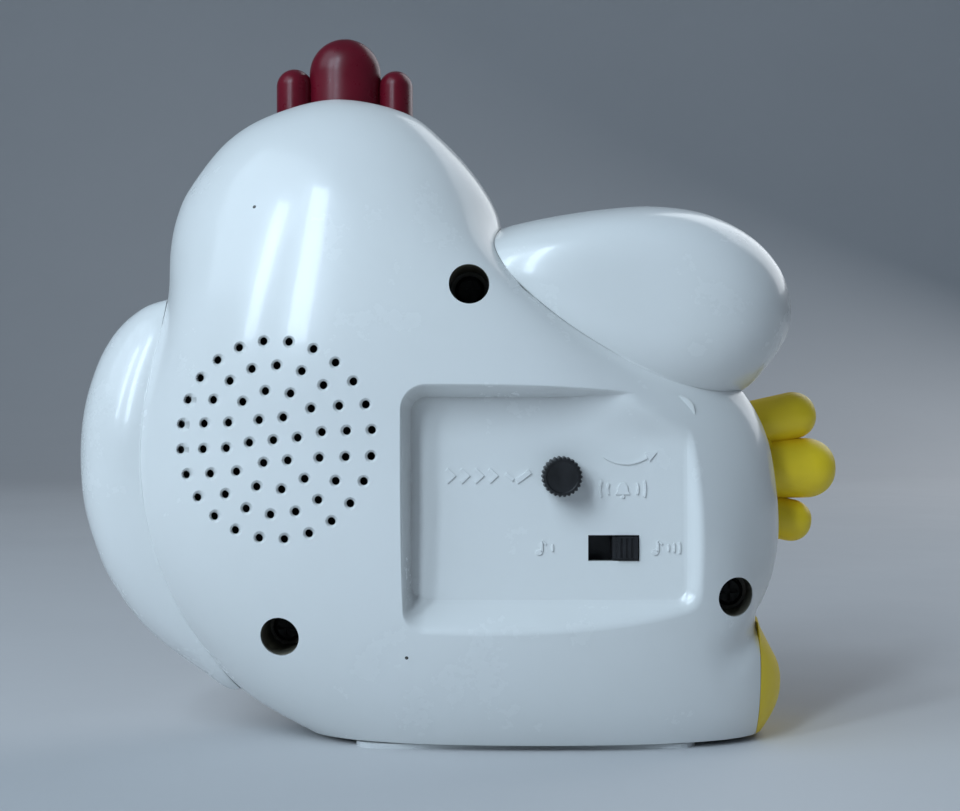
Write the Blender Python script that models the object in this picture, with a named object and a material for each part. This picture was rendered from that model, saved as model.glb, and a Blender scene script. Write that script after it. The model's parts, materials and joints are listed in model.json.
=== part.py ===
"""Chicken-shaped quartz alarm clock with a speaker, standing on its flat base.

World frame: +Z up, the clock face looks towards -Y, the control side towards +Y.
All dimensions below are in millimetres and are converted once, when meshes are made.
"""
import bpy
import bmesh
import math
import numpy as np

MM = 0.001

# ---------------------------------------------------------------- driving dimensions
GAP = 0.3                      # clearance between pieces that touch
FRAME_SHIFT = (-0.063, 3.031)  # moves the base centre of the whole clock to the origin (x, y)
SEAT_GAP = 0.45                # clearance below pieces that sit on the curved shells
WALL = 2.0                     # moulded wall thickness
PART_HALF_GAP = 0.15           # half the gap at the parting plane y = 0
OVERSHOOT = 2.0                # how far a cutting tool runs past the parting plane
FAR = 120.0                    # reach of cutting boxes beyond every part
REAR_DEPTH = 34.0              # crown of the rear cover
REAR_POWER = 3.0               # fullness of the rear dome
FRONT_DEPTH = 30.0             # crown of the front shell
FRONT_POWER = 4.0              # fullness of the front dome
BODY_SEGMENTS = 66             # vertices round the body outline
DOME_ROUNDING = 1.4            # how quickly the rings lose the outline's detail
BODY_RINGS = 6                 # rings from parting plane to crown
INNER_SEGMENTS = 46            # the hidden inside of the shells is coarser
INNER_RINGS = 5
BODY_CENTRE = (5.5, 66.5)      # pole of the domes (x, z)
BODY_OUTLINE = [
    (65, 95.5), (64.5, 106), (63, 113.5), (60, 120), (52, 130), (42, 136), (28, 139.3), (13, 136.3),
    (4, 129.5), (-3, 121.5), (-7.2, 114), (-8.2, 108), (-8.8, 102), (-14, 97), (-27, 91), (-43, 85),
    (-56, 79.5), (-62, 74), (-66.5, 65), (-68.5, 54), (-69, 44), (-67.5, 35), (-64.5, 27), (-61.5, 18),
    (-58, 6), (-51, -3), (-40, -7.5), (-25, -9), (-8, -9), (10, -7.5), (24, -3.5), (34, 1), (47, 8.5),
    (57, 18), (65, 28), (70, 38), (73, 47), (74, 56), (74, 66), (71.5, 76), (68, 86),
]
BASE_CUT = 1.3                 # the shells end here, above the base pad
FLOOR_TOP = 3.3                # inside face of the bottom wall

LEG_CENTRE = (-54.4, 0.0, 13.8)
LEG_SEMI = (14.8, 19.0, 13.6)
LEG_SPLIT_X = -62.6            # yellow tip starts here

GRILLE_CENTRE = (37.3, 65.0)
GRILLE_HOLES = (38.42, 64.96)    # middle hole, a little off the speaker behind it
GRILLE_PITCH = 5.03            # ring spacing
GRILLE_RINGS = [(6, 24.0), (12, 20.5), (18, 2.7), (24, 9.0)]
GRILLE_HOLE_R = 1.0

RECESS_FLOOR_Y = 25.0
RECESS_FLOOR = (-45.8, 10.8, 32.2, 73.7)     # x low, x high, z low, z high at the floor
RECESS_TOP_Y = 37.0
RECESS_TOP = (-61.0, 13.1, 22.0, 77.1)       # the same four sides carried up to RECESS_TOP_Y
RECESS_CUT_Y = 10.0            # the cover is open behind the recess down to here
RECESS_CORNER = 3.2
RECESS_WALL = 1.7

WELLS = [(-1.1, 96.6), (37.8, 24.6), (-56.5, 32.3)]
WELL_R = 4.1
WELL_WALL = 1.7
WELL_FLOOR_Y = 8.0
WELL_WEB = 2.6                 # thickness of the well's floor
SCREW_HOLE_R = 1.8
SCREW_HEAD_R = 3.2
SCREW_SHANK_R = 1.1
PILOT_R = 1.4
FRONT_BOSS_R = 3.8

DIAL_AXIS = (-1.2, 53.25)      # x, z
DIAL_OPENING_R = 36.8
DIAL_TUBE_R = 39.3
DIAL_BOSS_R = 40.5
DIAL_BACK_Y = -20.4
DIAL_R = 36.4
DIAL_SEGMENTS = 36
KNOB_AXIS = (-19.9, 57.6)
KNOB_R = 4.15
KNOB_BORE_R = 2.3              # hole in the panel round the knob stem
KNOB_TRAVEL = 2.5

SWITCH_WINDOW = (-36.0, -25.5, 40.1, 45.4)   # x low, x high, z low, z high
SWITCH_TRAVEL = 4.6

COMB_Y = -7.5
COMB_LOBES = [(38.35, 4.05, 5.0, 147.5), (27.0, 8.0, 6.4, 154.3), (15.6, 3.8, 5.0, 147.1)]
COMB_FLANGE = (10.6, 43.6, -11.0, -4.0, 125.3, 127.3)
COMB_SLOT_CLEARANCE = 0.35
SHELF = (14.0, 42.0, -34.0, -0.6, 112.0, 114.0)
COMB_TRAVEL = 3.0

LEFT_WING = [
    (62, 95.2), (68, 94.4), (72.0, 92.2), (75.8, 88.6), (79.0, 83.6), (81.2, 78), (82.7, 72.5), (83.6, 65.4),
    (83.6, 57.4), (82.5, 48.5), (78.8, 37.3), (74.4, 29.6), (69.8, 23.8), (63.8, 18.6), (57, 13.8), (50.5, 9.8),
    (46, 14), (52, 32), (57, 55), (56, 78), (58, 91),
]
LEFT_WING_CENTRE = (70.0, 58.0)
RIGHT_WING = [
    (-3, 108.3), (-9, 110.8), (-19, 113.0), (-30, 114.6), (-41, 115.2), (-52, 113.6), (-61.8, 108.8),
    (-68.2, 102), (-70.8, 94.4), (-70.2, 87.6), (-66.2, 81), (-60, 75), (-46, 70), (-25, 77), (-10, 86),
    (1, 95.5), (2.4, 103.6),
]
RIGHT_WING_CENTRE = (-37.0, 96.5)
WING_MID_Y = 2.0
LEFT_WING_REAR_H = 14.5
RIGHT_WING_REAR_H = 23.0
WING_FRONT_H = 19.0
LEFT_WING_POWER = 2.6
RIGHT_WING_POWER = 3.8

TOES = [
    # root (x, z), tip (x, z), radius
    ((-60.0, 66.0), (-73.8, 69.8), 5.3),
    ((-60.0, 57.6), (-76.9, 57.9), 6.7),
    ((-62.0, 49.5), (-73.4, 46.0), 4.7),
]
TOE_Y = -10.0
PALM_AT = (-64.0, TOE_Y, 58.0)
PALM_SEMI = (6.5, 7.5, 12.5)
LOWER_TOE_X = -58.5
LOWER_TOE_SEMI = (8.6, 10.0, 4.6)
LOWER_TOES = [(20.5, -27.0), (13.6, -31.0), (6.8, -27.0)]    # height, foremost y

TRAY = (-40.9, 15.2, -15.6, 15.6, 4.2, 19.6)
TRAY_WALL = 0.8
BATTERY_R = 7.2
BATTERY_Y = 7.6
BATTERY_Z = 11.0
BATTERY_X = (-38.2, 10.0)
DOOR = (-40.4, 14.4, -15.0, 15.0)
DOOR_GAP = 0.4
PAD = (-49.0, 23.0, -17.5, 17.5)
PAD_THICK = 1.0

MOVEMENT = (-30.0, 24.0, 31.0, 79.0)         # x low, x high, z low, z high
MOVEMENT_Y = (-20.1, -3.0)
PLATE_THICK = 1.2


# ---------------------------------------------------------------- scene and materials
for old in list(bpy.data.objects):
    bpy.data.objects.remove(old, do_unlink=True)


def make_material(name, rgb, roughness, metallic=0.0, alpha=1.0):
    mat = bpy.data.materials.new(name)
    mat.use_nodes = True
    shader = mat.node_tree.nodes["Principled BSDF"]
    shader.inputs["Base Color"].default_value = (rgb[0], rgb[1], rgb[2], 1.0)
    shader.inputs["Roughness"].default_value = roughness
    shader.inputs["Metallic"].default_value = metallic
    shader.inputs["Alpha"].default_value = alpha
    return mat


# ---------------------------------------------------------------- mesh helpers
def make_object(name, verts, faces):
    """A named object from millimetre vertices; normals are made to face out."""
    mesh = bpy.data.meshes.new(name)
    mesh.from_pydata([(x * MM, y * MM, z * MM) for x, y, z in verts], [], faces)
    bm = bmesh.new()
    bm.from_mesh(mesh)
    bmesh.ops.recalc_face_normals(bm, faces=bm.faces)
    bm.to_mesh(mesh)
    bm.free()
    obj = bpy.data.objects.new(name, mesh)
    bpy.context.scene.collection.objects.link(obj)
    return obj


def box(name, x0, x1, y0, y1, z0, z1):
    verts = [(x, y, z) for x in (x0, x1) for y in (y0, y1) for z in (z0, z1)]
    faces = [(0, 1, 3, 2), (4, 6, 7, 5), (0, 4, 5, 1), (2, 3, 7, 6), (0, 2, 6, 4), (1, 5, 7, 3)]
    return make_object(name, verts, faces)


def loft(name, rings):
    """Closed solid through equally long vertex rings, capped at both ends."""
    count = len(rings[0])
    verts = [v for ring in rings for v in ring]
    faces = []
    for k in range(len(rings) - 1):
        for i in range(count):
            j = (i + 1) % count
            faces.append((k * count + i, k * count + j, (k + 1) * count + j, (k + 1) * count + i))
    faces.append(tuple(range(count)))
    last = (len(rings) - 1) * count
    faces.append(tuple(reversed(range(last, last + count))))
    return make_object(name, verts, faces)


def ring_xz(points, y):
    return [(p[0], y, p[1]) for p in points]


def prism_y(name, points, y0, y1):
    return loft(name, [ring_xz(points, y0), ring_xz(points, y1)])


def circle(cx, cz, r, segments, phase=0.0):
    out = []
    for i in range(segments):
        a = 2 * math.pi * i / segments + phase
        out.append((cx + r * math.cos(a), cz + r * math.sin(a)))
    return out


def cylinder_y(name, axis, r, y0, y1, segments=24):
    return prism_y(name, circle(axis[0], axis[1], r, segments), y0, y1)


def turned_y(name, axis, profile, segments=24, closed=False):
    """Solid turned about an axis along Y. Profile is (radius, y); closed makes it a ring."""
    rings = []
    for r, y in profile:
        rings.append(ring_xz(circle(axis[0], axis[1], r, segments), y))
    if not closed:
        return loft(name, rings)
    verts = [v for ring in rings for v in ring]
    faces = []
    total = len(rings)
    for k in range(total):
        n = (k + 1) % total
        for i in range(segments):
            j = (i + 1) % segments
            faces.append((k * segments + i, k * segments + j, n * segments + j, n * segments + i))
    return make_object(name, verts, faces)


def tube_y(name, axis, r_in, r_out, y0, y1, segments=24):
    return turned_y(name, axis, [(r_in, y0), (r_out, y0), (r_out, y1), (r_in, y1)], segments, closed=True)


def ball(name, centre, semi, segments=24, rings=12):
    """Ellipsoid with its poles on Z."""
    verts = [(centre[0], centre[1], centre[2] - semi[2])]
    for k in range(1, rings):
        phi = -math.pi / 2 + math.pi * k / rings
        for i in range(segments):
            a = 2 * math.pi * i / segments
            verts.append((centre[0] + semi[0] * math.cos(phi) * math.cos(a),
                          centre[1] + semi[1] * math.cos(phi) * math.sin(a),
                          centre[2] + semi[2] * math.sin(phi)))
    verts.append((centre[0], centre[1], centre[2] + semi[2]))
    faces = []
    for i in range(segments):
        j = (i + 1) % segments
        faces.append((0, 1 + j, 1 + i))
        for k in range(rings - 2):
            a = 1 + k * segments
            b = a + segments
            faces.append((a + i, a + j, b + j, b + i))
        top = 1 + (rings - 2) * segments
        faces.append((top + i, top + j, len(verts) - 1))
    return make_object(name, verts, faces)


def rounded_rect(x0, x1, z0, z1, r, steps=4):
    points = []
    for cx, cz, start in ((x1 - r, z1 - r, 0), (x0 + r, z1 - r, 90), (x0 + r, z0 + r, 180), (x1 - r, z0 + r, 270)):
        for i in range(steps + 1):
            a = math.radians(start + 90 * i / steps)
            points.append((cx + r * math.cos(a), cz + r * math.sin(a)))
    return points


def capsule(name, start, end, r, squash=1.0, segments=16, caps=4):
    """Round-ended bar between two points in the XZ plane at height TOE_Y."""
    a = np.array((start[0], TOE_Y, start[1]), float)
    b = np.array((end[0], TOE_Y, end[1]), float)
    along = (b - a) / np.linalg.norm(b - a)
    side = np.array((-along[2], 0.0, along[0]))
    depth = np.array((0.0, 1.0, 0.0))
    rings = []
    for k in range(1, caps + 1):
        t = math.pi / 2 * k / caps
        rings.append((a - along * r * math.cos(t), r * math.sin(t)))
    for k in range(caps):
        t = math.pi / 2 * k / caps
        rings.append((b + along * r * math.sin(t), r * math.cos(t)))
    verts = [tuple(a - along * r)]
    for centre, radius in rings:
        for i in range(segments):
            ang = 2 * math.pi * i / segments
            verts.append(tuple(centre + side * radius * math.cos(ang) + depth * radius * squash * math.sin(ang)))
    verts.append(tuple(b + along * r))
    faces = []
    for i in range(segments):
        j = (i + 1) % segments
        faces.append((0, 1 + j, 1 + i))
        for k in range(len(rings) - 1):
            p = 1 + k * segments
            q = p + segments
            faces.append((p + i, p + j, q + j, q + i))
        top = 1 + (len(rings) - 1) * segments
        faces.append((top + i, top + j, len(verts) - 1))
    return make_object(name, verts, faces)


def combine(target, tool, operation, keep_tool=False):
    """Exact boolean, applied at once."""
    mod = target.modifiers.new("cut", "BOOLEAN")
    mod.object = tool
    mod.operation = operation
    mod.solver = "EXACT"
    graph = bpy.context.evaluated_depsgraph_get()
    result = bpy.data.meshes.new_from_object(target.evaluated_get(graph))
    target.modifiers.clear()
    old = target.data
    target.data = result
    result.name = target.name
    bpy.data.meshes.remove(old)
    if not keep_tool:
        bpy.data.objects.remove(tool, do_unlink=True)
    return target


def add(target, tool, keep_tool=False):
    return combine(target, tool, "UNION", keep_tool)


def cut(target, tool, keep_tool=False):
    return combine(target, tool, "DIFFERENCE", keep_tool)


def tidy(obj):
    """Weld the slivers that booleans leave behind."""
    bm = bmesh.new()
    bm.from_mesh(obj.data)
    bmesh.ops.remove_doubles(bm, verts=bm.verts, dist=0.00002)
    bmesh.ops.dissolve_degenerate(bm, edges=bm.edges, dist=0.00001)
    bmesh.ops.dissolve_limit(bm, angle_limit=math.radians(0.4), verts=bm.verts, edges=bm.edges)
    loose = [e for e in bm.edges if not e.link_faces]
    bmesh.ops.delete(bm, geom=loose, context="EDGES")
    lone = [v for v in bm.verts if not v.link_faces]
    bmesh.ops.delete(bm, geom=lone, context="VERTS")
    bmesh.ops.triangulate(bm, faces=bm.faces)
    bmesh.ops.recalc_face_normals(bm, faces=bm.faces)
    bm.to_mesh(obj.data)
    bm.free()
    return obj


# ---------------------------------------------------------------- outline maths
def catmull_rom(points, per_span=10):
    pts = np.array(points, float)
    out = []
    count = len(pts)
    for i in range(count):
        p0 = pts[i - 1]
        p1 = pts[i]
        p2 = pts[(i + 1) % count]
        p3 = pts[(i + 2) % count]
        for j in range(per_span):
            t = j / per_span
            out.append(0.5 * (2 * p1 + (p2 - p0) * t + (2 * p0 - 5 * p1 + 4 * p2 - p3) * t * t
                              + (3 * p1 - p0 - 3 * p2 + p3) * t ** 3))
    return np.array(out)


def resample(points, count):
    """Evenly spaced points along a smooth closed curve through the given ones."""
    dense = catmull_rom(points)
    loop = np.vstack([dense, dense[:1]])
    step = np.hypot(*np.diff(loop, axis=0).T)
    length = np.concatenate([[0.0], np.cumsum(step)])
    at = np.linspace(0.0, length[-1], count, endpoint=False)
    return np.column_stack([np.interp(at, length, loop[:, 0]), np.interp(at, length, loop[:, 1])])


def offset_loop(points, distance):
    """Move a closed counter-clockwise or clockwise loop outwards (positive) along its normals."""
    nxt = np.roll(points, -1, axis=0)
    prv = np.roll(points, 1, axis=0)
    tangent = nxt - prv
    normal = np.column_stack([tangent[:, 1], -tangent[:, 0]])
    normal /= np.linalg.norm(normal, axis=1)[:, None]
    area = 0.5 * np.sum(points[:, 0] * nxt[:, 1] - nxt[:, 0] * points[:, 1])
    if area < 0:
        normal = -normal
    return points + normal * distance


def ring_loop(loop, pole, rho):
    """One ring of a dome: the outline scaled by rho, and rounder the nearer it is to the pole."""
    rel = loop - pole
    wave = np.fft.fft(rel[:, 0] + 1j * rel[:, 1])
    order = np.fft.fftfreq(len(loop)) * len(loop)
    blur = DOME_ROUNDING * (1.0 - rho)
    wave *= np.exp(-0.5 * (order ** 2 - 1.0) * blur ** 2) * np.where(order == 0, math.exp(-0.5 * blur ** 2), 1.0)
    rel = np.fft.ifft(wave)
    return pole + np.column_stack([rel.real, rel.imag]) * rho


def dome(name, loop, centre, depth, power, sign, start, rings, skirt=0.0):
    """Dome solid: rho to the given power plus the squared height is one."""
    levels = []
    pole = np.array(centre)
    if skirt:
        levels.append((1.0, start - sign * skirt))
    for k in range(rings):
        phi = math.pi / 2 * (1 - k / rings)
        rho = math.sin(phi) ** (2.0 / power)
        levels.append((rho, start + sign * (depth - abs(start)) * math.cos(phi)))
    count = len(loop)
    verts = []
    for rho, y in levels:
        for q in ring_loop(loop, pole, rho):
            verts.append((q[0], y, q[1]))
    verts.append((pole[0], sign * depth, pole[1]))
    faces = [tuple(range(count))]
    for k in range(len(levels) - 1):
        for i in range(count):
            j = (i + 1) % count
            faces.append((k * count + i, k * count + j, (k + 1) * count + j, (k + 1) * count + i))
    last = (len(levels) - 1) * count
    for i in range(count):
        faces.append((last + i, last + (i + 1) % count, len(verts) - 1))
    return make_object(name, verts, faces)


def pillow(name, loop, centre, mid_y, rear_h, front_h, rear_power, front_power, rings):
    """Two domes on one outline, back to back."""
    pole = np.array(centre)
    levels = []
    for k in range(1, rings):
        phi = math.pi / 2 * k / rings
        levels.append((math.sin(phi) ** (2.0 / rear_power), mid_y + rear_h * math.cos(phi)))
    levels.append((1.0, mid_y))
    for k in range(rings - 1, 0, -1):
        phi = math.pi / 2 * k / rings
        levels.append((math.sin(phi) ** (2.0 / front_power), mid_y - front_h * math.cos(phi)))
    count = len(loop)
    verts = [(pole[0], mid_y + rear_h, pole[1])]
    for rho, y in levels:
        for q in ring_loop(loop, pole, rho):
            verts.append((q[0], y, q[1]))
    verts.append((pole[0], mid_y - front_h, pole[1]))
    faces = []
    for i in range(count):
        j = (i + 1) % count
        faces.append((0, 1 + j, 1 + i))
        for k in range(len(levels) - 1):
            p = 1 + k * count
            q = p + count
            faces.append((p + i, p + j, q + j, q + i))
        top = 1 + (len(levels) - 1) * count
        faces.append((top + i, top + j, len(verts) - 1))
    return make_object(name, verts, faces)


def surface_y(x, z, depth, power):
    """Height of a body dome above the parting plane at a point."""
    rel = BODY_DENSE - np.array(BODY_CENTRE)
    angles = np.arctan2(rel[:, 1], rel[:, 0])
    radii = np.hypot(rel[:, 0], rel[:, 1])
    order = np.argsort(angles)
    dx = x - BODY_CENTRE[0]
    dz = z - BODY_CENTRE[1]
    limit = np.interp(math.atan2(dz, dx), angles[order], radii[order], period=2 * math.pi)
    rho = min(1.0, math.hypot(dx, dz) / limit)
    return depth * math.sqrt(1.0 - rho ** power)


BODY_DENSE = catmull_rom(BODY_OUTLINE)
BODY_LOOP = resample(BODY_OUTLINE, BODY_SEGMENTS)
INNER_LOOP = offset_loop(resample(BODY_OUTLINE, INNER_SEGMENTS), -WALL)


# ---------------------------------------------------------------- gears
def gear_points(axis, teeth, module, phase):
    """Trapezoid teeth; phase is the angle of the first tooth's middle."""
    pitch_r = teeth * module / 2
    tip_r = pitch_r + 0.75 * module
    root_r = pitch_r - 1.05 * module
    step = 2 * math.pi / teeth
    points = []
    for t in range(teeth):
        mid = phase + t * step
        for r, share in ((root_r, -0.29), (tip_r, -0.10), (tip_r, 0.10), (root_r, 0.29)):
            a = mid + share * step
            points.append((axis[0] + r * math.cos(a), axis[1] + r * math.sin(a)))
    return points


def gear_y(name, axis, teeth, module, phase, y0, y1):
    return prism_y(name, gear_points(axis, teeth, module, phase), y0, y1)


def angle_between(a, b):
    return math.atan2(b[1] - a[1], b[0] - a[0])


def meshing_phase(driver_axis, driver_teeth, driver_phase, other_axis, other_teeth):
    """Phase that puts a gap of the other gear opposite a tooth of the driver."""
    towards = angle_between(driver_axis, other_axis)
    offset = (towards - driver_phase) / (2 * math.pi / driver_teeth)
    fraction = offset - math.floor(offset)
    step = 2 * math.pi / other_teeth
    return towards + math.pi + (fraction + 0.5) * step


# ---------------------------------------------------------------- shells
def leg_lobe(name, shrink):
    """Rounded lower leg, or its hollow when shrunk by the wall."""
    semi = [s - shrink for s in LEG_SEMI]
    return ball(name, LEG_CENTRE, semi, 24, 12)


def shell_leg(name, shrink, y0, y1):
    """Share of the leg that belongs to one shell: body side of the yellow tip, between two depths."""
    leg = leg_lobe(name, shrink)
    cut(leg, box("c", -FAR, LEG_SPLIT_X + shrink, -60, 60, -60, 60))
    cut(leg, box("c", -FAR, FAR, y0, y1, -60, 60))
    return leg


def recess_solid(name, grow, floor_y, top_y):
    """Tapered pocket volume, grown sideways by the given amount."""
    rings = []
    for y in (floor_y, top_y):
        t = (y - RECESS_FLOOR_Y) / (RECESS_TOP_Y - RECESS_FLOOR_Y)
        side = [f + (u - f) * t for f, u in zip(RECESS_FLOOR, RECESS_TOP)]
        points = rounded_rect(side[0] - grow, side[1] + grow, side[2] - grow, side[3] + grow,
                              RECESS_CORNER + grow)
        rings.append(ring_xz(points, y))
    return loft(name, rings)


def big_box_below(name, z):
    return box(name, -FAR, FAR, -FAR, FAR, -FAR, z)


def make_rear_cover():
    cover = dome("rear_cover", BODY_LOOP, BODY_CENTRE, REAR_DEPTH, REAR_POWER, 1, PART_HALF_GAP, BODY_RINGS)
    add(cover, shell_leg("leg", 0.0, -60, PART_HALF_GAP))
    hollow = dome("h", INNER_LOOP, BODY_CENTRE, REAR_DEPTH - WALL, REAR_POWER, 1, PART_HALF_GAP, INNER_RINGS,
                  OVERSHOOT)
    add(hollow, shell_leg("li", WALL, -60, PART_HALF_GAP - OVERSHOOT))
    for axis in WELLS:
        cut(hollow, cylinder_y("c", axis, WELL_R + WELL_WALL, -5, 40, 20))
    cut(hollow, big_box_below("c", FLOOR_TOP))
    cut(cover, hollow)
    cut(cover, recess_solid("c", RECESS_WALL + GAP, RECESS_CUT_Y, RECESS_TOP_Y))
    for axis in WELLS:
        cut(cover, cylinder_y("c", axis, WELL_R, WELL_FLOOR_Y, 45, 20))
        cut(cover, cylinder_y("c", axis, SCREW_HOLE_R, -5, 12, 12))
        cut(cover, cylinder_y("c", axis, WELL_R, -5, WELL_FLOOR_Y - WELL_WEB, 20))
    cut(cover, box("c", DOOR[0] - DOOR_GAP, DOOR[1] + DOOR_GAP, -20, DOOR[3] + DOOR_GAP, -5, 8))
    cut(cover, big_box_below("c", BASE_CUT))
    holes = [cylinder_y("hole", GRILLE_HOLES, GRILLE_HOLE_R, 12, 44, 6)]
    for ring, (count, phase) in enumerate(GRILLE_RINGS, start=1):
        for i in range(count):
            a = math.radians(phase + 360.0 * i / count)
            hx = GRILLE_HOLES[0] - ring * GRILLE_PITCH * math.sin(a)
            hz = GRILLE_HOLES[1] + ring * GRILLE_PITCH * math.cos(a)
            holes.append(cylinder_y("hole", (hx, hz), GRILLE_HOLE_R, 12, 44, 6))
    drill = holes[0]
    bm = bmesh.new()
    for hole in holes:
        bm.from_mesh(hole.data)
    bm.to_mesh(drill.data)
    bm.free()
    for hole in holes[1:]:
        bpy.data.objects.remove(hole, do_unlink=True)
    cut(cover, drill)
    return tidy(cover)


def make_control_panel():
    """Sunken tray that carries the knob and the switch, flush with the dome round its rim."""
    panel = recess_solid("control_panel", RECESS_WALL, RECESS_FLOOR_Y - RECESS_WALL, RECESS_TOP_Y)
    crown = dome("crown", BODY_LOOP, BODY_CENTRE, REAR_DEPTH, REAR_POWER, 1, PART_HALF_GAP, BODY_RINGS)
    combine(panel, crown, "INTERSECT", False)
    cut(panel, recess_solid("c", 0.0, RECESS_FLOOR_Y, RECESS_TOP_Y))
    cut(panel, cylinder_y("c", KNOB_AXIS, KNOB_BORE_R, 15, 30, 16))
    x0, x1, z0, z1 = SWITCH_WINDOW
    cut(panel, box("c", x0, x1, 20, 30, z0, z1))
    return tidy(panel)


def comb_section(grow, z0, z1, name):
    """The three overlapping oval columns of the comb."""
    solid = None
    for cx, rx, ry, _top in COMB_LOBES:
        ring = circle(cx, COMB_Y, 1.0, 20)
        oval = [(cx + (p[0] - cx) * (rx + grow), COMB_Y + (p[1] - COMB_Y) * (ry + grow)) for p in ring]
        column = loft("column", [[(x, y, z0) for x, y in oval], [(x, y, z1) for x, y in oval]])
        if solid is None:
            solid = column
            solid.name = name
        else:
            add(solid, column)
    return solid


def make_front_shell():
    shell = dome("front_shell", BODY_LOOP, BODY_CENTRE, FRONT_DEPTH, FRONT_POWER, -1, -PART_HALF_GAP, BODY_RINGS)
    add(shell, shell_leg("leg", 0.0, -PART_HALF_GAP, 60))
    add(shell, cylinder_y("c", DIAL_AXIS, DIAL_BOSS_R, -FRONT_DEPTH, DIAL_BACK_Y - 1.0, DIAL_SEGMENTS))
    hollow = dome("h", INNER_LOOP, BODY_CENTRE, FRONT_DEPTH - WALL, FRONT_POWER, -1, -PART_HALF_GAP,
                  INNER_RINGS, OVERSHOOT)
    add(hollow, shell_leg("li", WALL, OVERSHOOT - PART_HALF_GAP, 60))
    cut(hollow, cylinder_y("c", DIAL_AXIS, DIAL_TUBE_R, -45, DIAL_BACK_Y, DIAL_SEGMENTS))
    for axis in WELLS:
        cut(hollow, cylinder_y("c", axis, FRONT_BOSS_R, -45, 5, 16))
    cut(hollow, box("c", *SHELF))
    cut(hollow, big_box_below("c", FLOOR_TOP))
    cut(shell, hollow)
    cut(shell, cylinder_y("c", DIAL_AXIS, DIAL_OPENING_R, -45, DIAL_BACK_Y + 5.0, DIAL_SEGMENTS))
    for axis in WELLS:
        cut(shell, cylinder_y("c", axis, PILOT_R, -13, 5, 12))
    cut(shell, comb_section(COMB_SLOT_CLEARANCE, 125, 165, "slot"))
    cut(shell, box("c", DOOR[0] - DOOR_GAP, DOOR[1] + DOOR_GAP, DOOR[2] - DOOR_GAP, 20, -5, 8))
    cut(shell, big_box_below("c", BASE_CUT))
    return tidy(shell)


def body_envelope(name, with_leg=True):
    """Outside of both shells plus the assembly gap, as a tool for pieces that sit on them."""
    loop = offset_loop(BODY_LOOP, SEAT_GAP)
    both = pillow(name, loop, BODY_CENTRE, 0.0, REAR_DEPTH + SEAT_GAP, FRONT_DEPTH + SEAT_GAP, REAR_POWER, FRONT_POWER,
                  BODY_RINGS)
    if with_leg:
        add(both, ball("l", LEG_CENTRE, [s + SEAT_GAP for s in LEG_SEMI], 24, 12))
    return both


rear_cover = make_rear_cover()
control_panel = make_control_panel()
front_shell = make_front_shell()

left_wing = pillow("left_wing", resample(LEFT_WING, 36), LEFT_WING_CENTRE, WING_MID_Y, LEFT_WING_REAR_H,
                   WING_FRONT_H, LEFT_WING_POWER, LEFT_WING_POWER, 6)
right_wing = pillow("right_wing", resample(RIGHT_WING, 36), RIGHT_WING_CENTRE, WING_MID_Y, RIGHT_WING_REAR_H,
                    WING_FRONT_H, RIGHT_WING_POWER, RIGHT_WING_POWER, 6)
envelope = body_envelope("envelope")
cut(left_wing, envelope, keep_tool=True)
cut(right_wing, envelope, keep_tool=True)
tidy(left_wing)
tidy(right_wing)

# ---------------------------------------------------------------- feet and face
upper_foot = capsule("upper_foot", TOES[0][0], TOES[0][1], TOES[0][2])
for toe_root, toe_tip, toe_r in TOES[1:]:
    add(upper_foot, capsule("toe", toe_root, toe_tip, toe_r))
add(upper_foot, ball("palm", PALM_AT, PALM_SEMI, 20, 10))
cut(upper_foot, envelope, keep_tool=True)
tidy(upper_foot)

lower_foot = leg_lobe("lower_foot", 0.0)
for toe_z, toe_reach in LOWER_TOES:
    add(lower_foot, ball("toe", (LOWER_TOE_X, toe_reach + LOWER_TOE_SEMI[1], toe_z), LOWER_TOE_SEMI, 16, 8))
cut(lower_foot, box("c", LEG_SPLIT_X - GAP, FAR, -60, 60, -60, 60))
cut(lower_foot, big_box_below("c", BASE_CUT))
cut(lower_foot, body_envelope("c", with_leg=False))
tidy(lower_foot)

EYES = {"eye_left": (16.5, 117.5), "eye_right": (40.5, 116.0)}
EYE_R = 3.4
for eye_name, (ex, ez) in EYES.items():
    eye = ball(eye_name, (ex, -surface_y(ex, ez, FRONT_DEPTH, FRONT_POWER) + 0.4, ez), (EYE_R, 2.6, EYE_R), 20, 10)
    cut(eye, envelope, keep_tool=True)
    tidy(eye)

BEAK_AT = (28.5, 109.0)
BEAK_LEN = 12.0
beak_y = -surface_y(BEAK_AT[0], BEAK_AT[1], FRONT_DEPTH, FRONT_POWER)
beak_rings = []
for share, scale in ((-0.3, 1.0), (0.0, 1.0), (0.3, 0.88), (0.6, 0.62), (0.85, 0.32), (1.0, 0.1)):
    oval = circle(0, 0, scale, 20)
    drop = -2.2 * max(0.0, share) ** 2
    beak_rings.append([(BEAK_AT[0] + 6.2 * p[0], beak_y - BEAK_LEN * share, BEAK_AT[1] + 4.6 * p[1] + drop)
                       for p in oval])
beak = loft("beak", beak_rings)
cut(beak, envelope, keep_tool=True)
tidy(beak)

WATTLE_AT = (28.5, 98.6)
wattle_y = -surface_y(WATTLE_AT[0], WATTLE_AT[1], FRONT_DEPTH, FRONT_POWER)
wattle = ball("wattle", (WATTLE_AT[0], wattle_y, WATTLE_AT[1]), (3.9, 2.8, 4.4), 20, 10)
cut(wattle, envelope, keep_tool=True)
tidy(wattle)
bpy.data.objects.remove(envelope, do_unlink=True)


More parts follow.
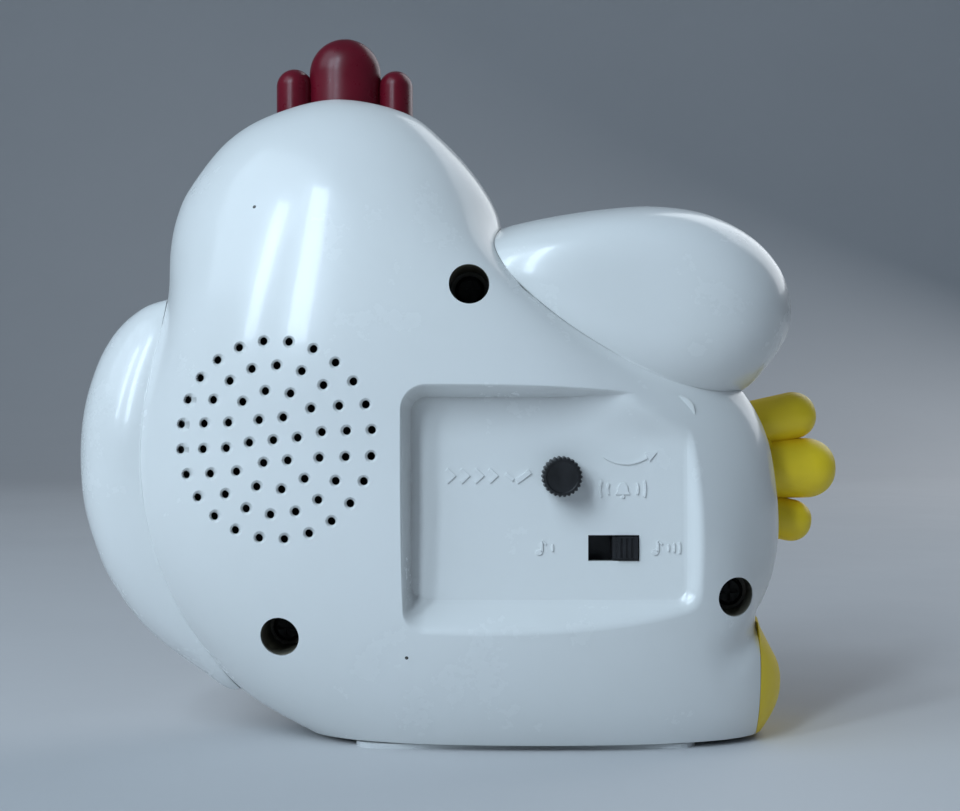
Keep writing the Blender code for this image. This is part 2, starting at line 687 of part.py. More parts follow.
# ---------------------------------------------------------------- comb button
def make_comb():
    solid = box("comb", *COMB_FLANGE)
    base_z = COMB_FLANGE[5] - 0.5
    for cx, rx, ry, top in COMB_LOBES:
        rings = [[(cx + rx * math.cos(a), COMB_Y + ry * math.sin(a), base_z)
                  for a in np.linspace(0, 2 * math.pi, 20, endpoint=False)]]
        for k in range(5):
            t = math.pi / 2 * k / 5
            z = top - rx + rx * math.sin(t)
            rings.append([(cx + rx * math.cos(t) * math.cos(a), COMB_Y + ry * math.cos(t) * math.sin(a), z)
                          for a in np.linspace(0, 2 * math.pi, 20, endpoint=False)])
        rings.append([(cx + 0.6 * math.cos(a), COMB_Y + 0.6 * math.sin(a), top)
                      for a in np.linspace(0, 2 * math.pi, 20, endpoint=False)])
        add(solid, loft("lobe", rings))
    stem = loft("stem", [[(27.0 + 2.0 * math.cos(a), COMB_Y + 2.0 * math.sin(a), z)
                          for a in np.linspace(0, 2 * math.pi, 16, endpoint=False)] for z in (121.4, 127.0)])
    add(solid, stem)
    return tidy(solid)


comb = make_comb()

SPRING_Z = (SHELF[5] + 0.2, COMB_FLANGE[4] - 0.2)
SPRING_R = 5.2
SPRING_WIRE = 0.35
SPRING_TURNS = 4
spring_rings = []
spring_steps = SPRING_TURNS * 10
for k in range(spring_steps + 1):
    turn = 2 * math.pi * k / 10
    mid_z = SPRING_Z[0] + SPRING_WIRE + (SPRING_Z[1] - SPRING_Z[0] - 2 * SPRING_WIRE) * k / spring_steps
    ring = []
    for q in range(4):
        w = math.pi / 2 * q
        r = SPRING_R + SPRING_WIRE * math.cos(w)
        ring.append((27.0 + r * math.cos(turn), COMB_Y + r * math.sin(turn), mid_z + SPRING_WIRE * math.sin(w)))
    spring_rings.append(ring)
comb_spring = loft("comb_spring", spring_rings)
stop_switch = box("stop_switch", 24.0, 30.0, COMB_Y - 3.0, COMB_Y + 3.0, SHELF[5] + GAP, SHELF[5] + 4.0)

# ---------------------------------------------------------------- dial side
bezel = turned_y("bezel", DIAL_AXIS, [(34.4, -30.3), (35.3, -30.3), (35.3, -26.4), (36.4, -26.4), (36.4, -30.3),
                                      (40.2, -30.3), (40.2, -31.2), (39.0, -32.4), (35.4, -32.0), (34.4, -31.0)],
                 DIAL_SEGMENTS, closed=True)
lens = turned_y("lens", DIAL_AXIS, [(35.0, -28.8), (35.0, -30.0)], DIAL_SEGMENTS)
dial = tube_y("dial", DIAL_AXIS, 3.5, DIAL_R, -21.9, -20.9, DIAL_SEGMENTS)


def hand(name, length, width, tail, hub_r, hole_r, y0, y1, angle_deg):
    """Flat tapered hand with a round hub; the angle is measured from up, clockwise seen from the face."""
    a = math.radians(angle_deg)
    out = np.array((math.sin(a), math.cos(a)))
    side = np.array((out[1], -out[0]))
    axis = np.array(DIAL_AXIS)
    points = [axis - out * tail - side * width * 0.45, axis - out * tail + side * width * 0.45,
              axis + out * length * 0.75 + side * width * 0.5, axis + out * length,
              axis + out * length * 0.75 - side * width * 0.5]
    blade = prism_y(name, [tuple(p) for p in points], y0, y1)
    add(blade, cylinder_y("hub", DIAL_AXIS, hub_r, y0, y1, 20))
    if hole_r:
        cut(blade, cylinder_y("bore", DIAL_AXIS, hole_r, y0 - 1, y1 + 1, 20))
    return blade


ALARM_ANGLE = 180.0
HOUR_ANGLE = 304.0
MINUTE_ANGLE = 48.0
SECOND_ANGLE = 110.0

# alarm hand, its tube and the wheel the knob turns: one moving group, three pieces
alarm_hand = hand("alarm_hand", 17.0, 1.6, 4.0, 4.3, 2.5, -22.9, -22.3, ALARM_ANGLE)
add(alarm_hand, tube_y("tube", DIAL_AXIS, 2.5, 3.1, -22.5, -17.0, 20))
tidy(alarm_hand)
KNOB_TEETH = 12
ALARM_TEETH = 52
SETTING_MODULE = 0.6
KNOB_PHASE = angle_between(KNOB_AXIS, DIAL_AXIS)
alarm_phase = meshing_phase(KNOB_AXIS, KNOB_TEETH, KNOB_PHASE, DIAL_AXIS, ALARM_TEETH)
alarm_wheel = gear_y("alarm_wheel", DIAL_AXIS, ALARM_TEETH, SETTING_MODULE, alarm_phase, -16.7, -15.5)
cut(alarm_wheel, cylinder_y("bore", DIAL_AXIS, 2.5, -30, 0, 20))
tidy(alarm_wheel)

hour_hand = hand("hour_hand", 20.0, 3.4, 5.0, 3.6, 1.6, -24.1, -23.3, HOUR_ANGLE)
add(hour_hand, tube_y("tube", DIAL_AXIS, 1.6, 2.2, -23.7, -14.6, 20))
tidy(hour_hand)
minute_hand = hand("minute_hand", 29.0, 2.6, 6.0, 2.8, 0.75, -25.4, -24.6, MINUTE_ANGLE)
add(minute_hand, tube_y("tube", DIAL_AXIS, 0.75, 1.3, -25.0, -12.9, 16))
tidy(minute_hand)
second_hand = hand("second_hand", 31.0, 0.8, 9.0, 1.6, 0.0, -26.6, -26.1, SECOND_ANGLE)
add(second_hand, cylinder_y("arbor", DIAL_AXIS, 0.45, -26.3, -8.3, 12))
tidy(second_hand)

# motion work: 12 -> 36, 10 -> 40 teeth, so the hour hand turns once in twelve
CANNON_TEETH = 12
MINUTE_TEETH = 36
PINION_TEETH = 10
HOUR_TEETH = 40
MODULE_A = 0.25
MODULE_B = 0.24
MOTION_AXIS = (DIAL_AXIS[0], DIAL_AXIS[1] - 6.0)
cannon_phase = angle_between(DIAL_AXIS, MOTION_AXIS)
cannon_pinion = gear_y("cannon_pinion", DIAL_AXIS, CANNON_TEETH, MODULE_A, cannon_phase, -12.6, -11.0)
cut(cannon_pinion, cylinder_y("bore", DIAL_AXIS, 0.75, -30, 0, 16))
minute_phase = meshing_phase(DIAL_AXIS, CANNON_TEETH, cannon_phase, MOTION_AXIS, MINUTE_TEETH)
minute_wheel = gear_y("minute_wheel", MOTION_AXIS, MINUTE_TEETH, MODULE_A, minute_phase, -12.4, -11.2)
pinion_phase = angle_between(MOTION_AXIS, DIAL_AXIS)
add(minute_wheel, gear_y("pinion", MOTION_AXIS, PINION_TEETH, MODULE_B, pinion_phase, -14.6, -12.0))
add(minute_wheel, cylinder_y("arbor", MOTION_AXIS, 0.5, -14.9, -5.0, 10))
tidy(minute_wheel)
hour_phase = meshing_phase(MOTION_AXIS, PINION_TEETH, pinion_phase, DIAL_AXIS, HOUR_TEETH)
hour_wheel = gear_y("hour_wheel", DIAL_AXIS, HOUR_TEETH, MODULE_B, hour_phase, -14.3, -13.2)
cut(hour_wheel, cylinder_y("bore", DIAL_AXIS, 1.6, -30, 0, 20))
tidy(hour_wheel)
second_wheel = gear_y("second_wheel", DIAL_AXIS, 30, 0.3, 0.0, -8.0, -7.0)
tidy(second_wheel)

# movement housing
mx0, mx1, mz0, mz1 = MOVEMENT
my0, my1 = MOVEMENT_Y
movement_plate = box("movement_plate", mx0, mx1, my0, my0 + PLATE_THICK, mz0, mz1)
cut(movement_plate, cylinder_y("bore", DIAL_AXIS, 3.4, -40, 0, 20))
movement_case = box("movement_case", mx0, mx1, my0 + PLATE_THICK + GAP, my1, mz0, mz1)
cut(movement_case, box("c", mx0 + 1.2, mx1 - 1.2, my0, my1 - 1.2, mz0 + 1.2, mz1 - 1.2))
cut(movement_case, cylinder_y("bore", KNOB_AXIS, 3.0, -10, 5, 16))
tidy(movement_plate)
tidy(movement_case)


# ---------------------------------------------------------------- setting knob
def knurled_points(axis, r, count, depth):
    points = []
    for i in range(count):
        base = 2 * math.pi * i / count
        for share, rr in ((-0.28, r), (0.28, r), (0.5, r - depth)):
            a = base + share * 2 * math.pi / count
            points.append((axis[0] + rr * math.cos(a), axis[1] + rr * math.sin(a)))
    return points


setting_knob = prism_y("setting_knob", knurled_points(KNOB_AXIS, KNOB_R, 22, 0.3), 25.9, 31.2)
add(setting_knob, turned_y("cap", KNOB_AXIS, [(3.5, 30.9), (3.5, 31.6), (3.0, 31.9)], 22))
cut(setting_knob, cylinder_y("socket", KNOB_AXIS, 1.15, 20, 29.6, 12))
tidy(setting_knob)
knob_stem = cylinder_y("knob_stem", KNOB_AXIS, 0.85, -18.4, 29.2, 12)
add(knob_stem, gear_y("pinion", KNOB_AXIS, KNOB_TEETH, SETTING_MODULE, KNOB_PHASE, -18.4, -13.4))
tidy(knob_stem)
setting_yoke = tube_y("setting_yoke", KNOB_AXIS, 1.15, 4.2, 5.0, 8.0, 20)

# ---------------------------------------------------------------- slide switch
sx0, sx1, sz0, sz1 = SWITCH_WINDOW
switch_body = box("switch_body", sx0 - 2.5, sx1 + 2.5, 14.0, 23.0, sz0 - 2.0, sz1 + 2.0)
cut(switch_body, box("c", sx0 - 0.5, sx1 + 0.5, 18.0, 26.0, sz0 - 0.5, sz1 + 0.5))
switch_slider = box("switch_slider", sx0 + 0.3, sx0 + 5.5, 18.6, 26.2, sz0 + 0.3, sz1 - 0.3)
for k in range(3):
    gx = sx0 + 1.3 + 1.6 * k
    cut(switch_slider, box("groove", gx - 0.3, gx + 0.3, 25.8, 27, sz0 - 1, sz1 + 1))

# ---------------------------------------------------------------- speaker and board
speaker_frame = turned_y("speaker_frame", GRILLE_CENTRE,
                         [(21.8, 20.3), (21.8, 18.9), (19.4, 18.9), (10.4, 12.6), (10.4, 11.4), (4.0, 11.4),
                          (4.0, 12.6), (9.4, 12.8), (18.6, 20.3)], 36, closed=True)
speaker_cone = turned_y("speaker_cone", GRILLE_CENTRE,
                        [(3.0, 14.9), (5.0, 13.9), (9.0, 13.9), (18.0, 20.4), (17.6, 21.1), (8.7, 14.7),
                         (5.0, 14.8), (3.0, 15.7)], 32)
speaker_magnet = turned_y("speaker_magnet", GRILLE_CENTRE, [(9.5, 11.1), (9.5, 5.2), (9.0, 4.6)], 28)
sound_board = box("sound_board", 28.0, 62.0, -7.6, -6.0, 40.0, 62.0)

# ---------------------------------------------------------------- battery bay and base
tx0, tx1, ty0, ty1, tz0, tz1 = TRAY
battery_tray = box("battery_tray", *TRAY)
cut(battery_tray, box("c", tx0 + TRAY_WALL, tx1 - TRAY_WALL, ty0 + TRAY_WALL, ty1 - TRAY_WALL, 0,
                      tz1 - TRAY_WALL))


def battery(name, y):
    """Round cell along X with its raised end."""
    x0, x1 = BATTERY_X
    profile = [(x0, BATTERY_R - 0.6), (x0 + 0.6, BATTERY_R), (x1 - 1.0, BATTERY_R), (x1 - 0.4, BATTERY_R - 0.8),
               (x1 - 0.4, 2.6), (x1 + 0.9, 2.5)]
    rings = []
    for x, r in profile:
        rings.append([(x, y + r * math.cos(a), BATTERY_Z + r * math.sin(a))
                      for a in np.linspace(0, 2 * math.pi, 24, endpoint=False)])
    return loft(name, rings)


battery_rear = battery("battery_rear", BATTERY_Y)
battery_front = battery("battery_front", -BATTERY_Y)
contact_bridge = box("contact_bridge", tx0 + TRAY_WALL + GAP, tx0 + TRAY_WALL + 0.8, -12.5, 12.5, 5.0, 17.0)
contact_rear = box("contact_rear", tx1 - TRAY_WALL - 0.8, tx1 - TRAY_WALL - GAP, 3.2, 12.2, 5.0, 17.0)
contact_front = box("contact_front", tx1 - TRAY_WALL - 0.8, tx1 - TRAY_WALL - GAP, -12.2, -3.2, 5.0, 17.0)
battery_door = box("battery_door", DOOR[0], DOOR[1], DOOR[2], DOOR[3], 0.5, 2.4)

px0, px1, py0, py1 = PAD
pad_points = rounded_rect(px0, px1, py0, py1, 5.0, 5)
base_pad = loft("base_pad", [[(x, y, 0.0) for x, y in pad_points], [(x, y, PAD_THICK) for x, y in pad_points]])
cut(base_pad, box("c", DOOR[0] - DOOR_GAP, DOOR[1] + DOOR_GAP, DOOR[2] - DOOR_GAP, DOOR[3] + DOOR_GAP, -5, 5))

# ---------------------------------------------------------------- case screws
for number, axis in enumerate(WELLS, start=1):
    screw = turned_y("case_screw_%d" % number, axis,
                     [(SCREW_SHANK_R - 0.5, -10.5), (SCREW_SHANK_R, -9.5), (SCREW_SHANK_R, WELL_FLOOR_Y + GAP),
                      (SCREW_HEAD_R, WELL_FLOOR_Y + GAP), (SCREW_HEAD_R, 9.6), (2.4, 10.4)], 16)
    cut(screw, box("slot", axis[0] - 2.0, axis[0] + 2.0, 9.4, 12.0, axis[1] - 0.4, axis[1] + 0.4))
    cut(screw, box("slot", axis[0] - 0.4, axis[0] + 0.4, 9.4, 12.0, axis[1] - 2.0, axis[1] + 2.0))
    tidy(screw)

# ---------------------------------------------------------------- origins of the moving pieces
AXES = {
    "setting_knob": (KNOB_AXIS[0], RECESS_FLOOR_Y, KNOB_AXIS[1]),
    "knob_stem": (KNOB_AXIS[0], RECESS_FLOOR_Y, KNOB_AXIS[1]),
    "setting_yoke": (KNOB_AXIS[0], 6.5, KNOB_AXIS[1]),
    "alarm_hand": (DIAL_AXIS[0], -22.0, DIAL_AXIS[1]),
    "alarm_wheel": (DIAL_AXIS[0], -16.0, DIAL_AXIS[1]),
    "hour_hand": (DIAL_AXIS[0], -23.0, DIAL_AXIS[1]),
    "hour_wheel": (DIAL_AXIS[0], -14.0, DIAL_AXIS[1]),
    "minute_hand": (DIAL_AXIS[0], -25.0, DIAL_AXIS[1]),
    "cannon_pinion": (DIAL_AXIS[0], -12.0, DIAL_AXIS[1]),
    "minute_wheel": (MOTION_AXIS[0], -12.0, MOTION_AXIS[1]),
    "second_hand": (DIAL_AXIS[0], -26.3, DIAL_AXIS[1]),
    "second_wheel": (DIAL_AXIS[0], -7.5, DIAL_AXIS[1]),
    "comb": (27.0, COMB_Y, COMB_FLANGE[5]),
    "switch_slider": (sx0 + 2.9, 25.0, (sz0 + sz1) / 2),
    "battery_door": ((DOOR[0] + DOOR[1]) / 2, 0.0, 0.5),
}
for piece, origin in AXES.items():
    obj = bpy.data.objects[piece]
    shift = np.array(origin) * MM
    for vertex in obj.data.vertices:
        vertex.co.x -= shift[0]
        vertex.co.y -= shift[1]
        vertex.co.z -= shift[2]
    obj.location = tuple(shift)

for obj in bpy.data.objects:
    obj.location.x += FRAME_SHIFT[0] * MM
    obj.location.y += FRAME_SHIFT[1] * MM

# ---------------------------------------------------------------- materials
FINISHES = {
    "shell_white": ((0.86, 0.87, 0.88), 0.22, 0.0, ["rear_cover", "control_panel", "front_shell", "left_wing",
                                                     "right_wing"]),
    "comb_red": ((0.27, 0.018, 0.03), 0.25, 0.0, ["comb", "wattle"]),
    "foot_yellow": ((0.73, 0.58, 0.035), 0.4, 0.0, ["upper_foot", "lower_foot"]),
    "beak_orange": ((0.8, 0.36, 0.03), 0.35, 0.0, ["beak"]),
    "eye_black": ((0.01, 0.01, 0.012), 0.12, 0.0, ["eye_left", "eye_right"]),
    "bezel_yellow": ((0.78, 0.62, 0.06), 0.3, 0.0, ["bezel"]),
    "dial_card": ((0.9, 0.9, 0.88), 0.6, 0.0, ["dial"]),
    "hand_black": ((0.02, 0.02, 0.02), 0.35, 0.0, ["hour_hand", "minute_hand"]),
    "hand_red": ((0.5, 0.03, 0.03), 0.35, 0.0, ["second_hand", "alarm_hand"]),
    "control_black": ((0.015, 0.015, 0.016), 0.4, 0.0, ["setting_knob", "switch_slider", "switch_body",
                                                        "stop_switch", "speaker_frame"]),
    "cone_paper": ((0.05, 0.05, 0.05), 0.8, 0.0, ["speaker_cone"]),
    "base_grey": ((0.7, 0.71, 0.72), 0.5, 0.0, ["base_pad", "battery_door"]),
    "inner_plastic": ((0.3, 0.31, 0.33), 0.5, 0.0, ["movement_case", "movement_plate", "battery_tray",
                                                    "setting_yoke", "knob_stem"]),
    "gear_plastic": ((0.85, 0.84, 0.8), 0.5, 0.0, ["alarm_wheel", "hour_wheel", "minute_wheel", "second_wheel",
                                                   "cannon_pinion"]),
    "board_green": ((0.03, 0.2, 0.07), 0.5, 0.0, ["sound_board"]),
    "cell_jacket": ((0.05, 0.07, 0.2), 0.3, 0.0, ["battery_rear", "battery_front"]),
    "steel": ((0.6, 0.6, 0.62), 0.3, 1.0, ["case_screw_1", "case_screw_2", "case_screw_3", "comb_spring",
                                           "speaker_magnet", "contact_bridge", "contact_rear",
                                           "contact_front"]),
}
for finish, (rgb, rough, metal, pieces) in FINISHES.items():
    material = make_material(finish, rgb, rough, metal)
    for piece in pieces:
        data = bpy.data.objects[piece].data
        data.materials.clear()
        data.materials.append(material)
glass = make_material("lens_clear", (0.95, 0.97, 0.98), 0.05, 0.0, 0.3)
lens.data.materials.clear()
lens.data.materials.append(glass)
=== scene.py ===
import json
import math

import bmesh
import bpy
import numpy as np
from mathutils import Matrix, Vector
from mathutils.bvhtree import BVHTree


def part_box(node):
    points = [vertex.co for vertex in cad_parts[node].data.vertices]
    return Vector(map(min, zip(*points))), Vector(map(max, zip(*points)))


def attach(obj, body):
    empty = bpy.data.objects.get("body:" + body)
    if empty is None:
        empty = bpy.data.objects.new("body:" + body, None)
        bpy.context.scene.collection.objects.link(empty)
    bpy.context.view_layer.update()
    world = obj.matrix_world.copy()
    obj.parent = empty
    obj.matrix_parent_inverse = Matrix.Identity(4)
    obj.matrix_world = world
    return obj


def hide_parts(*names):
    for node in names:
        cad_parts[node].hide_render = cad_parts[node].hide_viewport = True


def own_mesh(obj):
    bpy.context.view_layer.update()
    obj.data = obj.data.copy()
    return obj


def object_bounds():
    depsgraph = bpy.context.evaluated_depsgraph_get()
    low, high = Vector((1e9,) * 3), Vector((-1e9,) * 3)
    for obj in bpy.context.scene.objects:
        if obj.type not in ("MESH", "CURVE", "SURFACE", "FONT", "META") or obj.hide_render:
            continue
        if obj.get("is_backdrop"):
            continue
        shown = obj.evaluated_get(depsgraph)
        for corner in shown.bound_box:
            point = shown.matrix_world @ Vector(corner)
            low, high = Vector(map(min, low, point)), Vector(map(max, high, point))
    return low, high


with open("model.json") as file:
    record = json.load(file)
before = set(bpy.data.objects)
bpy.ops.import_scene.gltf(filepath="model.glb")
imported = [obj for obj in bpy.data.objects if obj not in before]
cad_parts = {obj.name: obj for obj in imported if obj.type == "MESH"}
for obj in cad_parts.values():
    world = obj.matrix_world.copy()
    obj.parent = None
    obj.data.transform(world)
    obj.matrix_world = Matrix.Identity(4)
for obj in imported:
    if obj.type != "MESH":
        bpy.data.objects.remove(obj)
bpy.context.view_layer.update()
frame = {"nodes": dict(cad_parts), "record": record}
MM = 0.001


# ------------------------------------------------------------------ places taken from the frame (millimetres)
def centre_of(node):
    low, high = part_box(node)
    return np.array(low + high) / 2 / MM


def low_of(node):
    return np.array(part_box(node)[0]) / MM


def high_of(node):
    return np.array(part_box(node)[1]) / MM


DIAL = centre_of("bezel")
# the design frame of the outlines below: x and y as in the CAD source, before it was centred
SHIFT = np.array([DIAL[0] + 1.2, high_of("rear_cover")[1] - 33.713, 0.0])
KNOB = centre_of("setting_knob") - SHIFT
GRILLE = centre_of("speaker_magnet") - SHIFT + np.array([1.1, 0.0, 0.0])
GRILLE_PITCH = 5.03
WELLS = [centre_of("case_screw_%d" % k) - SHIFT for k in (1, 2, 3)]
DIAL_XZ = (DIAL[0] - SHIFT[0], DIAL[2])
COMB_C = centre_of("comb") - SHIFT

REAR_DEPTH = 34.0
REAR_POWER = 3.0
FRONT_DEPTH = 30.0
FRONT_POWER = 4.0
ROUNDING = 1.4
BODY_CENTRE = (5.5, 66.5)
BODY_OUTLINE = [
    (65, 95.5), (64.5, 106), (63, 113.5), (60, 120), (52, 130), (42, 136), (28, 139.3), (13, 136.3),
    (4, 129.5), (-3, 121.5), (-7.2, 114), (-8.2, 108), (-8.8, 102), (-14, 97), (-27, 91), (-43, 85),
    (-56, 79.5), (-62, 74), (-66.5, 65), (-68.5, 54), (-69, 44), (-67.7, 35.5), (-65.4, 29.2), (-64.0, 25.6),
    (-66.2, 20.6), (-68.8, 15.0), (-68.8, 8.6), (-66, 2.6), (-61, -3), (-51, -7.5), (-40, -8.6), (-25, -9),
    (-8, -9), (10, -7.5), (24, -3.5), (34, 1), (47, 8.5),
    (57, 18), (65, 28), (70, 38), (73, 47), (74, 56), (74, 66), (71.5, 76), (68, 86),
]
LEG_SPLIT_X = -62.6            # the yellow end of the leg starts here
FOOT_TOP_Z = 25.6              # and reaches up to here
FAR = 200.0                    # cutting blocks reach this far past every piece
WALL = 2.0                     # moulded wall thickness
SEAT = 0.1                     # gap below pieces that sit on the body
BASE_CUT = low_of("rear_cover")[2]
LEFT_WING = [
    (62, 95.2), (68, 94.4), (72.0, 92.2), (75.8, 88.6), (79.0, 83.6), (81.2, 78), (82.7, 72.5), (83.6, 65.4),
    (83.6, 57.4), (82.5, 48.5), (78.8, 37.3), (74.4, 29.6), (69.8, 23.8), (63.8, 18.6), (57, 13.8), (50.5, 9.8),
    (46, 14), (52, 32), (57, 55), (56, 78), (58, 91),
]
RIGHT_WING = [
    (-3, 108.3), (-9, 110.8), (-19, 113.0), (-30, 114.6), (-41, 115.2), (-52, 113.6), (-61.8, 108.8),
    (-68.2, 102), (-70.8, 94.4), (-70.2, 87.6), (-66.2, 81), (-60, 75), (-46, 70), (-25, 77), (-10, 86),
    (6.0, 96.2), (8.4, 103.2),
]
FLOOR_Y = 25.0
FLOOR_RECT = (-45.8, 10.8, 32.2, 73.7)


# ------------------------------------------------------------------ mesh helpers
def new_mesh(name, verts, faces, smooth=True, angle=38.0):
    """Mesh object from design-frame millimetres."""
    co = (np.asarray(verts, float) + SHIFT) * MM
    mesh = bpy.data.meshes.new(name)
    mesh.from_pydata(co.tolist(), [], faces)
    obj = bpy.data.objects.new(name, mesh)
    bpy.context.scene.collection.objects.link(obj)
    bm = bmesh.new()
    bm.from_mesh(mesh)
    bmesh.ops.recalc_face_normals(bm, faces=bm.faces)
    bm.to_mesh(mesh)
    bm.free()
    if smooth:
        soften(obj, angle)
    return obj


def soften(obj, angle=38.0):
    mesh = obj.data
    mesh.polygons.foreach_set("use_smooth", [True] * len(mesh.polygons))
    mesh.set_sharp_from_angle(angle=math.radians(angle))
    return obj


def grid_faces(rows, count, start=0):
    faces = []
    for k in range(rows - 1):
        a = start + k * count
        b = a + count
        for i in range(count):
            j = (i + 1) % count
            faces.append((a + i, a + j, b + j, b + i))
    return faces


def end_caps(rows, count):
    """Flat faces over the first and the last of the rings."""
    return [tuple(range(count)), tuple(reversed(range((rows - 1) * count, rows * count)))]


def fan(first, count, tip):
    """Triangles from one ring to a single vertex."""
    return [(first + i, first + (i + 1) % count, tip) for i in range(count)]


def join(target, others):
    bm = bmesh.new()
    bm.from_mesh(target.data)
    for other in others:
        bm.from_mesh(other.data)
    bm.to_mesh(target.data)
    bm.free()
    for other in others:
        bpy.data.objects.remove(other, do_unlink=True)
    return target


def boolean(target, tool, operation="DIFFERENCE", angle=38.0):
    mod = target.modifiers.new("cut", "BOOLEAN")
    mod.object = tool
    mod.operation = operation
    mod.solver = "EXACT"
    graph = bpy.context.evaluated_depsgraph_get()
    result = bpy.data.meshes.new_from_object(target.evaluated_get(graph))
    if len(result.polygons) < 0.02 * len(target.data.polygons):
        raise RuntimeError(f"cutting {target.name} removed most of it")
    target.modifiers.clear()
    target.data = result
    bpy.data.objects.remove(tool, do_unlink=True)
    soften(target, angle)
    return target


def circle(r, n, phase=0.0):
    a = np.linspace(0, 2 * math.pi, n, endpoint=False) + phase
    return np.column_stack([r * np.cos(a), r * np.sin(a)])


def turned(name, axis, profile, n=64, closed=False, angle=38.0):
    """Turned piece about an axis along Y; profile is (radius, y)."""
    verts = []
    for r, y in profile:
        for x, z in circle(max(r, 1e-4), n):
            verts.append((axis[0] + x, y, axis[1] + z))
    rows = len(profile)
    faces = grid_faces(rows, n)
    if closed:
        last = (rows - 1) * n
        for i in range(n):
            j = (i + 1) % n
            faces.append((last + i, last + j, j, i))
    else:
        faces += end_caps(rows, n)
    return new_mesh(name, verts, faces, angle=angle)


def prism(name, points, y0, y1, angle=30.0, chamfer=0.0):
    """Prism along Y from XZ points, with an optional small chamfer on its +Y edge."""
    pts = np.asarray(points, float)
    n = len(pts)
    rows = [(pts, y0)]
    if chamfer:
        mid = pts.mean(axis=0)
        away = pts - mid
        shrunk = pts - away / np.linalg.norm(away, axis=1)[:, None] * chamfer
        rows.append((pts, y1 - chamfer))
        rows.append((shrunk, y1))
    else:
        rows.append((pts, y1))
    verts = [(x, y, z) for ring, y in rows for x, z in ring]
    faces = grid_faces(len(rows), n) + end_caps(len(rows), n)
    return new_mesh(name, verts, faces, angle=angle)


def block(name, x0, x1, y0, y1, z0, z1, bevel=0.0):
    verts = [(x, y, z) for x in (x0, x1) for y in (y0, y1) for z in (z0, z1)]
    faces = [(0, 1, 3, 2), (4, 6, 7, 5), (0, 4, 5, 1), (2, 3, 7, 6), (0, 2, 6, 4), (1, 5, 7, 3)]
    obj = new_mesh(name, verts, faces)
    if bevel:
        add_bevel(obj, bevel)
    return obj


def add_bevel(obj, width, segments=3):
    mod = obj.modifiers.new("edge", "BEVEL")
    mod.width = width * MM
    mod.segments = segments
    mod.limit_method = "ANGLE"
    mod.angle_limit = math.radians(35)
    mod.harden_normals = True
    return obj


def tube_along(name, points, radii, across, n=8):
    """Round wire through points; across is a direction that never lies along it."""
    rows = []
    for k, radius in enumerate(radii):
        t = points[min(k + 1, len(points) - 1)] - points[max(k - 1, 0)]
        t = t / np.linalg.norm(t)
        side = np.cross(t, across)
        side /= np.linalg.norm(side)
        up = np.cross(side, t)
        rows.append([points[k] + radius * (math.cos(a) * side + math.sin(a) * up)
                     for a in np.linspace(0, 2 * math.pi, n, endpoint=False)])
    verts = [v for ring in rows for v in ring]
    return new_mesh(name, verts, grid_faces(len(rows), n) + end_caps(len(rows), n), angle=80)


# ------------------------------------------------------------------ body surface
def catmull_rom(points, per_span=24):
    pts = np.array(points, float)
    out = []
    count = len(pts)
    for i in range(count):
        p0, p1, p2, p3 = pts[i - 1], pts[i], pts[(i + 1) % count], pts[(i + 2) % count]
        for j in range(per_span):
            t = j / per_span
            out.append(0.5 * (2 * p1 + (p2 - p0) * t + (2 * p0 - 5 * p1 + 4 * p2 - p3) * t * t
                              + (3 * p1 - p0 - 3 * p2 + p3) * t ** 3))
    return np.array(out)


def resample(points, count):
    dense = catmull_rom(points)
    loop = np.vstack([dense, dense[:1]])
    step = np.hypot(*np.diff(loop, axis=0).T)
    length = np.concatenate([[0.0], np.cumsum(step)])
    at = np.linspace(0.0, length[-1], count, endpoint=False)
    return np.column_stack([np.interp(at, length, loop[:, 0]), np.interp(at, length, loop[:, 1])])


def offset_loop(points, distance):
    nxt = np.roll(points, -1, axis=0)
    prv = np.roll(points, 1, axis=0)
    tangent = nxt - prv
    normal = np.column_stack([tangent[:, 1], -tangent[:, 0]])
    normal /= np.linalg.norm(normal, axis=1)[:, None]
    if 0.5 * np.sum(points[:, 0] * nxt[:, 1] - nxt[:, 0] * points[:, 1]) < 0:
        normal = -normal
    return points + normal * distance


def ring_loop(loop, pole, rho):
    rel = loop - pole
    wave = np.fft.fft(rel[:, 0] + 1j * rel[:, 1])
    order = np.fft.fftfreq(len(loop)) * len(loop)
    blur = ROUNDING * (1.0 - rho)
    wave *= np.exp(-0.5 * (order ** 2 - 1.0) * blur ** 2)
    wave *= np.where(order == 0, math.exp(-0.5 * blur ** 2), 1.0)
    rel = np.fft.ifft(wave)
    return pole + np.column_stack([rel.real, rel.imag]) * rho


def smooth_min(a, b, k):
    h = np.maximum(k - np.abs(a - b), 0.0) / k
    return np.minimum(a, b) - h * h * k * 0.25


def smooth_max(a, b, k):
    return -smooth_min(-a, -b, k)


